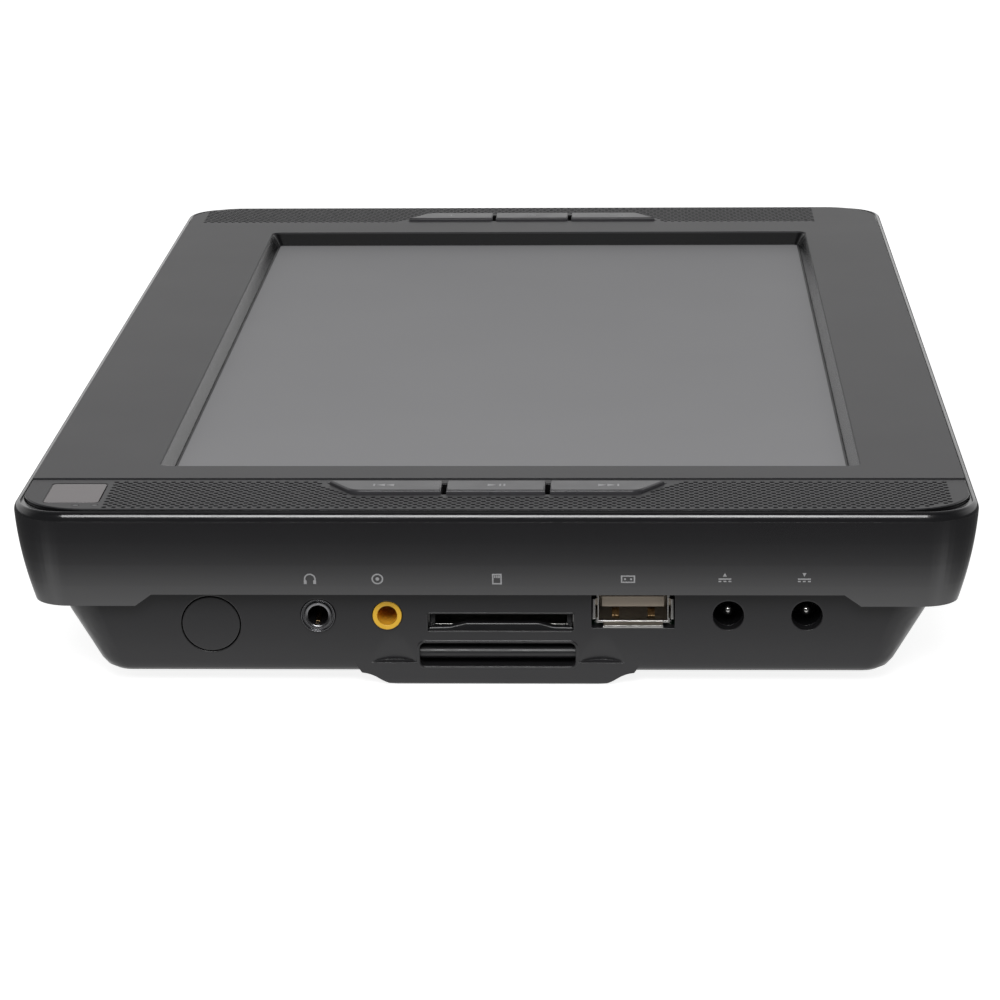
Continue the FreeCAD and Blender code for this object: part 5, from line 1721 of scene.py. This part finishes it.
@dataclass
class Contacts(SubAssembly):
    """What is seen in the sockets: contact springs, ring, power pins, and the card slot's lip and cheeks."""

    leaf_t: float = 0.12
    jack_x: float = -31.7
    jack_z: float = 13.7
    bore_r: float = 1.8
    bore_y: Point = (-137.4, -128.0)
    jack_leaf_x: float = -31.85
    jack_leaf_width: float = 0.8
    jack_leaf_drop: float = 0.86
    jack_leaf_bends: tuple[Point, ...] = ((0.0, 0.0), (1.6, 0.55), (3.0, 0.75), (4.4, 0.3))
    tongue_x: tuple[float, ...] = (21.2, 23.5, 25.9, 28.2)
    tongue_y: Point = (-136.9, -129.0)
    tongue_z: float = 15.3
    tongue_leaf_width: float = 0.95
    tongue_bends: tuple[Point, ...] = ((0.0, 0.0), (2.0, -0.12), (4.0, 0.0))
    spring_x: Point = (21.55, 27.95)
    spring_y: Point = (-134.6, -131.4)
    spring_z: float = 12.42
    spring_width: float = 1.3
    spring_bends: tuple[Point, ...] = ((0.0, 0.0), (0.7, 0.8), (1.6, 1.05), (2.4, 0.7))
    slot_x: float = 1.0
    slot_half: float = 12.9
    slot_floor: float = 10.67
    cheek_steps: int = 2
    cheek_y: Point = (-136.8, -135.93)
    cheek_blocks: tuple[Triple, ...] = ((0.0, 0.55, 0.9), (0.25, 1.05, 3.24))
    cheek_edge: float = 0.08
    lip_y: Point = (-137.9, -136.3)
    lip_edge: float = 0.42
    lip_steps: int = 5
    lip_upper: float = 0.5
    lip_top: tuple[Point, ...] = (
        (12.9, 0.55), (9.4, 0.62), (6.9, 1.35), (-6.2, 1.35), (-9.2, 0.62), (-12.9, 0.55),
    )
    ring_r: float = 3.05
    ring_y: Point = (-139.31, -136.84)
    ring_section: tuple[Point, ...] = (
        (0.0, 0.06), (0.03, 0.0), (0.1, 0.0), (0.15, 0.06), (0.2, 0.55), (0.5, 0.55), (0.55, 0.16),
        (0.65, 0.0), (0.85, 0.0), (1.15, 0.15), (1.21, 0.3), (0.73, 0.3),
    )
    pin_x: Point = (41.7, 55.7)
    pin_r: float = 1.05
    pin_y: Point = (-135.96, -124.79)
    nose_steps: int = 6
    turned_steps: int = 40

    def leaf(self, bm: Shape, x: float, width: float, reach: Point, z: float, bends: Sequence[Point]) -> None:
        """A bent metal leaf that runs along Y.

        Args:
            bm: the shape to add to.
            x: its middle.
            width: its width.
            reach: its front and back ends.
            z: height of its ends.
            bends: distance from the front end and height over the ends, for each point but the last.
        """
        front, back = reach
        path = [(front + along, z + up) for along, up in bends] + [(back, z)]
        edges = chain(bm, ((x - width / 2, y, height) for y, height in path))
        made = bmesh.ops.extrude_edge_only(bm, edges=edges)["geom"]
        bmesh.ops.translate(bm, verts=only(Vert, made), vec=(width * MM, 0, 0))
        bmesh.ops.solidify(bm, geom=only(Face, made), thickness=self.leaf_t * MM)

    def jack_leaves(self) -> Piece:
        """A sprung leaf in the headphone socket's bore.

        Returns:
            The piece.
        """
        bm = bmesh.new()
        low = self.jack_z - self.bore_r * self.jack_leaf_drop
        self.leaf(bm, self.jack_leaf_x, self.jack_leaf_width, self.bore_y, low, self.jack_leaf_bends)
        return self.finish(bm, "jack_leaves", "base", "plated", crease_deg=40.0, material=self.palette.spring)

    def flat_socket_leaves(self) -> Piece:
        """Four contacts under the tongue and two springs on the shell's floor.

        Returns:
            The piece.
        """
        bm = bmesh.new()
        for x in self.tongue_x:
            self.leaf(bm, x, self.tongue_leaf_width, self.tongue_y, self.tongue_z, self.tongue_bends)
        for x in self.spring_x:
            self.leaf(bm, x, self.spring_width, self.spring_y, self.spring_z, self.spring_bends)
        material = self.palette.spring
        return self.finish(bm, "flat_socket_leaves", "base", "plated", crease_deg=40.0, material=material)

    def spun(self, bm: Shape, x: float, section: Sequence[Point], closed: bool) -> None:
        """Spin a section round a socket's middle line.

        Args:
            bm: the shape to add to.
            x: the socket's place across the unit.
            section: (radius, y) points.
            closed: whether the last point joins the first.
        """
        edges = chain(bm, ((x, y, self.jack_z + radius) for radius, y in section), closed)
        spin(bm, edges, (x, 0.0, self.jack_z), (0, 1, 0), math.tau, self.turned_steps, use_merge=True)

    def mouth_ring(self) -> Piece:
        """The headphone socket's turned metal ring: thin outer lip, groove and funnel-shaped inner lip.

        Returns:
            The piece.
        """
        bm = bmesh.new()
        front, back = self.ring_y
        mouth = [(self.ring_r - inset, front + depth) for inset, depth in self.ring_section]
        self.spun(bm, self.jack_x, [(self.ring_r, back), *mouth, (mouth[-1][0], back)], closed=True)
        piece = self.finish(bm, "headphone_mouth_ring", "base", "jack_ring")
        weigh_normals(piece)
        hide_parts("headphone_ring")
        return piece

    def pins(self) -> Piece:
        """Round-nosed pins of the two power sockets.

        Returns:
            The piece.
        """
        bm = bmesh.new()
        front, back = self.pin_y
        turns = [math.pi / 2 * k / self.nose_steps for k in range(self.nose_steps + 1)]
        nose = [(self.pin_r * math.sin(turn), front + self.pin_r * (1 - math.cos(turn))) for turn in turns]
        for x in self.pin_x:
            self.spun(bm, x, [*nose, (self.pin_r, back), (0.0, back)], closed=False)
        piece = self.finish(bm, "power_socket_pins", "base", "plated", crease_deg=40.0)
        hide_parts("dc_pins")
        return piece

    def cheek(self, bm: Shape, sign: int) -> None:
        """A small upright that closes an end of the card slot, with a step where the card's edge runs.

        Args:
            bm: the shape to add to.
            sign: -1 for the left end, 1 for the right.
        """
        front, back = self.cheek_y
        for setback, wide, high in self.cheek_blocks:
            near = front + setback
            size = Vector((wide, back - near, high)) * MM
            x = self.slot_x + sign * (self.slot_half - wide / 2)
            middle = Vector((x, near, self.slot_floor + high / 2)) * MM
            middle.y += size.y / 2
            matrix = Matrix.Translation(middle) @ Matrix.Diagonal((*size, 1.0))
            made = bmesh.ops.create_cube(bm, size=1.0, matrix=matrix)["verts"]
            bevel(bm, list({e for v in made for e in v.link_edges}), self.cheek_edge, self.cheek_steps)

    def card_lip(self) -> Piece:
        """The card slot's lower lip, raised and rounded in the middle, with a cheek at each end.

        Returns:
            The piece.
        """
        bm = bmesh.new()
        low = self.slot_floor
        front, back = self.lip_y
        foot = [(-self.slot_half, 0.0), (self.slot_half, 0.0)]
        outline = [(self.slot_x + x, front, low + up) for x, up in [*foot, *self.lip_top]]
        face = bm.faces.new(ends_of(chain(bm, outline, closed=True)))
        moved = only(Vert, bmesh.ops.extrude_face_region(bm, geom=[face])["geom"])
        bmesh.ops.translate(bm, verts=moved, vec=(0, (back - front) * MM, 0))
        floor = (low + self.lip_upper) * MM
        top = [e for e in bm.edges if e.is_manifold and all(v.co.z > floor for v in e.verts)]
        bevel(bm, top, self.lip_edge, self.lip_steps)
        for sign in (-1, 1):
            self.cheek(bm, sign)
        return self.finish(bm, "card_slot_lip", "base", "jack_plastic")


@dataclass
class SlotLips(SubAssembly):
    """Low rounded lips that the moulding has round the strap slots and the card slot."""

    lean: float = 0.1142
    wall_y: float = -138.796
    wall_z: float = 12.3
    strap_slot: tuple[float, ...] = (0.4, 6.05, 14.0, 2.25, 1.0)
    card_slot: tuple[float, ...] = (1.0, 12.3, 13.05, 1.65, 0.3)
    strap_section: tuple[Point, ...] = (
        (0.62, -0.1), (0.5, 0.06), (0.36, 0.13), (0.2, 0.13), (0.06, 0.05), (0.0, -0.3),
    )
    card_section: tuple[Point, ...] = (
        (0.34, -0.1), (0.27, 0.04), (0.19, 0.08), (0.11, 0.08), (0.03, 0.02), (0.0, -0.25),
    )

    def lip(self, slot: tuple[float, ...], section: tuple[Point, ...], name: str, flip: bool) -> Piece:
        """Run a lip's section round a slot in the leaning wall.

        Args:
            slot: middle across the unit, middle height, half width, half height and corner radius.
            section: pairs of growth from the slot's edge and height over the wall.
            name: name of the piece.
            flip: whether the slot is in the far wall.

        Returns:
            The piece.
        """
        x, z, half_x, half_z, corner = slot
        bm = bmesh.new()
        rings = []
        for grow, out in section:
            ring = []
            for across, height in rounded_rectangle(x, z, half_x + grow, half_z + grow, corner + grow):
                near = self.wall_y + (self.wall_z - height) * self.lean - out
                ring.append(bm.verts.new((across * MM, (-near if flip else near) * MM, height * MM)))
            rings.append(ring)
        for outer, inner in zip(rings, rings[1:]):
            for a, b, c, d in zip(outer, outer[1:] + outer[:1], inner[1:] + inner[:1], inner):
                bm.faces.new((a, b, c, d))
        return self.finish(bm, name, "base", "base_plastic", crease_deg=60.0)

    def build(self) -> list[Piece]:
        """Build the lips of the three slots.

        Returns:
            The pieces.
        """
        return [
            self.lip(self.strap_slot, self.strap_section, "near_strap_slot_lip", False),
            self.lip(self.strap_slot, self.strap_section, "far_strap_slot_lip", True),
            self.lip(self.card_slot, self.card_section, "card_slot_rim", False),
        ]


@dataclass
class Screws(SubAssembly):
    """Cross-recessed screws that stand where a node's plain ones are."""

    node: str
    body: str
    facing: Facing
    head_r: float
    head_t: float
    shank_r: float = 0.9
    sides: int = 28
    dome: tuple[Point, ...] = ((0.34, 0.0), (0.16, 0.08), (0.04, 0.25), (0.0, 0.5))
    arm_share: float = 0.52
    slot_share: float = 0.13
    recess_share: float = 0.6
    recess_taper: float = 0.12

    def places(self) -> list[tuple[float, float, float, float]]:
        """Axis and ends of each screw of the node.

        Returns:
            X, y, lowest and highest point of each, in millimetres.
        """
        bm = copy_of(self.node)
        left = set(bm.verts)
        found = []
        while left:
            island = {left.pop()}
            edge = set(island)
            while edge:
                edge = {e.other_vert(v) for v in edge for e in v.link_edges} & left
                left -= edge
                island |= edge
            xs, ys, zs = zip(*((v.co.x / MM, v.co.y / MM, v.co.z / MM) for v in island))
            found.append(((min(xs) + max(xs)) / 2, (min(ys) + max(ys)) / 2, min(zs), max(zs)))
        bm.free()
        return sorted(found)

    def cross(self, x: float, y: float, grow: float) -> list[Point]:
        """Outline of a cross recess.

        Args:
            x: its middle.
            y: its middle.
            grow: how much larger than at the top.

        Returns:
            Its twelve corners.
        """
        arm = self.head_r * self.arm_share + grow
        half = self.head_r * self.slot_share + grow * 0.5
        quarter = [(arm, -half), (arm, half), (half, half)]
        points = []
        for k in range(4):
            for px, py in quarter:
                for _ in range(k):
                    px, py = -py, px
                points.append((x + px, y + py))
        return points

    def build(self) -> Piece:
        """Make every screw: domed head, shank and cross recess.

        Returns:
            The piece.
        """
        bm = bmesh.new()
        for x, y, low, high in self.places():
            sign = self.facing.value
            top = high if sign > 0 else low
            tip = low if sign > 0 else high
            seat = top - sign * self.head_t
            deep = top - sign * self.head_t * self.recess_share
            shank = self.shank_r - self.head_r
            profile = [(-share * self.head_r, top - sign * depth) for share, depth in self.dome]
            profile += [(0.0, seat), (shank, seat), (shank, tip)]
            wall(bm, lambda grow, x=x, y=y: circle_points(x, y, self.head_r + grow, self.sides), profile)
            wall(bm, partial(self.cross, x, y), [(0.0, top), (-self.recess_taper, deep)])
            for z in (top, deep, tip):
                cap(bm, z)
        piece = self.finish(bm, self.node + "_crossed", self.body, "screws", crease_deg=35.0)
        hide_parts(self.node)
        return piece


@dataclass
class Leadscrew(SubAssembly):
    """Sled's leadscrew: a left-hand thread between two plain ends."""

    x: float = 26.4
    z: float = 10.0
    thread_y: Point = (10.2, 83.0)
    ends_y: Point = (8.6, 87.0)
    crest_r: float = 1.4
    root_r: float = 1.12
    end_r: float = 0.7
    lead: float = 3.0
    flank_y: tuple[float, ...] = (0.35, 1.05, 1.95, 2.65)
    axis_r: float = 0.02
    join: float = 0.01
    steps_a_turn: int = 20

    def build(self) -> Piece:
        """Spin the thread's section along the shaft, with a plain core inside it.

        Returns:
            The piece.
        """
        bm = bmesh.new()
        start, end = self.thread_y
        turns = (end - start) / self.lead - 1
        places = (0.0, *self.flank_y, self.lead)
        radii = (self.root_r, self.root_r, self.crest_r, self.crest_r, self.root_r, self.root_r)
        thread = chain(bm, ((self.x, start + y, self.z + r) for y, r in zip(places, radii)))
        steps = round(turns * self.steps_a_turn)
        centre = (self.x, 0.0, self.z)
        run = (0, turns * self.lead / steps * MM, 0)
        spin(bm, thread, centre, (0, -1, 0), turns * math.tau, steps, dvec=run)
        bmesh.ops.remove_doubles(bm, verts=bm.verts, dist=self.join * MM)
        steps_r = (self.axis_r, self.end_r, self.end_r, self.root_r)
        near_half = zip((self.ends_y[0], self.ends_y[0], start, start), steps_r)
        far_half = zip((end, end, self.ends_y[1], self.ends_y[1]), reversed(steps_r))
        core = chain(bm, ((self.x, y, self.z + r) for y, r in (*near_half, *far_half)))
        spin(bm, core, centre, (0, 1, 0), math.tau, self.steps_a_turn, use_merge=True)
        piece = self.finish(bm, "leadscrew_threaded", "leadscrew", "steel", crease_deg=35.0)
        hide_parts("leadscrew")
        return piece


# Studio


@dataclass
class Studio:
    """Pale floor, soft light and the camera at the photograph's place."""

    camera_at: Triple = (24.25, -774.79, 206.28)
    pitch_deg: float = 15.062
    yaw_deg: float = 2.085
    roll_deg: float = -0.534
    lens_mm: float = 133.73
    lamp_at: Triple = (-0.02, -0.776, 0.525)
    lamp_aim: Triple = (0.0, -0.1455, 0.033)
    lamp_size: Point = (0.38, 0.34)
    lamp_watts: float = 3.9
    floor_half: float = 3.2
    floor_colour: Colour = (0.5, 0.5, 0.5)
    floor_lift: float = 0.86
    mirrored_floor: tuple[Point, ...] = (
        (-30.0, 0.9), (-5.0, 1.0), (2.0, 1.0), (7.0, 0.84), (12.0, 0.72), (17.0, 0.66), (25.0, 0.38),
        (35.0, 0.2), (50.0, 0.115), (70.0, 0.085), (120.0, 0.08),
    )
    low_light: float = 0.3
    high_light: float = 0.68
    behind: float = 1.0
    in_front: float = 0.08
    overhead: float = 0.16
    depth_range: Point = (-0.35, 0.45)
    height_range: Point = (0.42, 0.8)

    def build(self) -> None:
        """Build the floor, the world, the lamp and the camera."""
        self.floor()
        self.world()
        self.lamp()
        self.camera()

    def floor(self) -> None:
        """A wide pale floor that takes the unit's shadow and darkens with distance in reflections."""
        bm = bmesh.new()
        bmesh.ops.create_grid(bm, x_segments=1, y_segments=1, size=self.floor_half)
        mesh = bpy.data.meshes.new("floor")
        bm.to_mesh(mesh)
        bm.free()
        floor = bpy.data.objects.new("floor", mesh)
        bpy.context.scene.collection.objects.link(floor)
        tree = ShaderTree("Floor")
        path = tree.add("LightPath").outputs
        seen = tree.arithmetic("MAXIMUM", path["Is Camera Ray"], path["Is Transmission Ray"])
        tree.set(
            Base_Color=self.floor_colour,
            Roughness=0.9,
            Specular_IOR_Level=0.0,
            Emission_Color=(1.0, 1.0, 1.0),
            Emission_Strength=tree.arithmetic("MULTIPLY", seen, self.floor_lift),
        )
        glow = tree.add("Emission", Strength=self.mirrored(tree))
        mix = tree.add("MixShader", Fac=path["Is Glossy Ray"])
        tree.give(mix.inputs[1], tree.shader.outputs["BSDF"])
        tree.give(mix.inputs[2], glow.outputs["Emission"])
        tree.give(tree.output.inputs["Surface"], mix.outputs["Shader"])
        mesh.materials.append(tree.material)

    def mirrored(self, tree: ShaderTree) -> Socket:
        """Brightness of the floor in reflections, by the distance from the unit's outline.

        Args:
            tree: the floor's material.

        Returns:
            The brightness.
        """
        parts = tree.add("SeparateXYZ", Vector=tree.coords)
        away = [
            tree.arithmetic("SUBTRACT", tree.arithmetic("ABSOLUTE", parts.outputs[axis]), half * MM)
            for axis, half in zip("XY", UNIT_HALF)
        ]
        distance = tree.arithmetic("MAXIMUM", *away)
        first, last = self.mirrored_floor[0][0], self.mirrored_floor[-1][0]
        ramp = tree.add("ValToRGB", Fac=tree.span(distance, 0.0, 1.0, first * MM, last * MM))
        stops = ramp.color_ramp.elements
        for (place, glow), stop in zip((self.mirrored_floor[0], self.mirrored_floor[-1]), stops):
            stop.position = (place - first) / (last - first)
            stop.color = (glow, glow, glow, 1.0)
        for place, glow in self.mirrored_floor[1:-1]:
            stops.new((place - first) / (last - first)).color = (glow, glow, glow, 1.0)
        return ramp.outputs["Color"]

    def world(self) -> None:
        """White low down behind the unit for camera and reflections, and plain light from above."""
        world = bpy.data.worlds.new("Studio")
        bpy.context.scene.world = world
        world.use_nodes = True
        graph = Graph(world.node_tree)
        parts = graph.add("SeparateXYZ", Vector=graph.add("TexCoord").outputs["Generated"]).outputs
        path = graph.add("LightPath").outputs
        smooth = {"shape": "SMOOTHSTEP"}
        across = graph.span(parts["Y"], self.in_front, self.behind, *self.depth_range, **smooth)
        overhead = graph.span(parts["Z"], 1.0, self.overhead, *self.height_range, **smooth)
        reflected = graph.arithmetic("MULTIPLY", across, overhead)
        strength = graph.span(parts["Z"], self.low_light, self.high_light, 0.0, 1.0, **smooth)
        for ray, glow in (("Is Glossy Ray", reflected), ("Is Camera Ray", 1.0), ("Is Transmission Ray", 1.0)):
            strength = graph.add("Mix", Factor=path[ray], A=strength, B=glow).outputs["Result"]
        background = graph.add("Background", Strength=strength)
        graph.add("OutputWorld", Surface=background.outputs["Background"])

    def lamp(self) -> None:
        """A soft rectangular lamp in front of the unit."""
        light = bpy.data.lights.new("Front softbox", "AREA")
        light.shape = "RECTANGLE"
        light.size, light.size_y = self.lamp_size
        light.energy = self.lamp_watts
        lamp = bpy.data.objects.new("Front softbox", light)
        lamp.location = self.lamp_at
        aim = Vector(self.lamp_aim) - Vector(self.lamp_at)
        lamp.rotation_euler = aim.to_track_quat("-Z", "Y").to_euler()
        lamp.visible_camera = False
        bpy.context.scene.collection.objects.link(lamp)

    def camera(self) -> None:
        """The camera, from the fitted place and angles."""
        pitch, yaw, roll = (math.radians(a) for a in (self.pitch_deg, self.yaw_deg, self.roll_deg))
        ahead = Vector((-math.sin(yaw), math.cos(yaw), 0.0)) * math.cos(pitch)
        forward = ahead - Vector((0.0, 0.0, math.sin(pitch)))
        across = Vector((math.cos(yaw), math.sin(yaw), 0.0))
        plumb = across.cross(forward)
        right = across * math.cos(roll) + plumb * math.sin(roll)
        up = plumb * math.cos(roll) - across * math.sin(roll)
        data = bpy.data.cameras.new("Camera")
        data.sensor_width = 36.0
        data.lens = self.lens_mm
        data.clip_start = 0.01
        camera = bpy.data.objects.new("Camera", data)
        turn = Matrix((right, up, -forward)).transposed().to_4x4()
        camera.matrix_world = Matrix.Translation(Vector(self.camera_at) * MM) @ turn
        bpy.context.scene.collection.objects.link(camera)
        bpy.context.scene.camera = camera


SMOOTHED = (
    "base_shell", "screen_bezel", "deck_plate", "lid_inner_cover", "blanking_plug", "headphone_jack",
    "av_jack", "usb_shell", "usb_tongue", "dc_jacks", "strap_bars", "hinge_pins", "infrared_window",
    "indicator_pips", "power_knob", "lid_lock", "loader_chassis", "dampers", "spindle_base",
    "spindle_rotor", "turntable", "guide_rods", "sled_motor", "pickup_sled", "lens_guard",
    "objective_lens", "sled_follower", "speakers", "speaker_cones", "screen_frame", "stator_core",
)


def main() -> None:
    """Build the studio, the finishes and every piece."""
    logging.basicConfig(level=logging.INFO, format="%(message)s")
    bpy.context.scene.view_settings.view_transform = "Standard"
    Studio().build()
    palette = Palette()
    palette.dress_nodes()
    shell = LidShell(palette)
    contacts = Contacts(palette)
    made = [shell.build(), RimBead(palette).build(), SocketSigns(palette, shell).build()]
    # A dark strip as painted shade in the gap between the screen and its bezel.
    made.append(ScreenGapShade(palette).build())
    for end in End:
        strip = SpeakerStrip(palette, end)
        made += [strip.build(), strip.cloth()]
    made += KeyCaps(palette).build()
    made += [contacts.jack_leaves(), contacts.mouth_ring(), contacts.pins()]
    made += [contacts.flat_socket_leaves(), contacts.card_lip()]
    made += SlotLips(palette).build()
    made.append(Screws(palette, "lid_screws", "lid", Facing.DOWN, head_r=2.2, head_t=1.0).build())
    made.append(Screws(palette, "case_screws", "base", Facing.DOWN, head_r=2.5, head_t=1.8).build())
    made.append(Screws(palette, "damper_screws", "base", Facing.UP, head_r=2.9, head_t=1.0).build())
    made.append(Leadscrew(palette).build())
    for node in SMOOTHED:
        made.append(smooth_copy(node, palette))
    for piece in made:
        log.info("%s: %d faces", piece.name, len(piece.data.polygons))


if __name__ == "__main__":
    main()
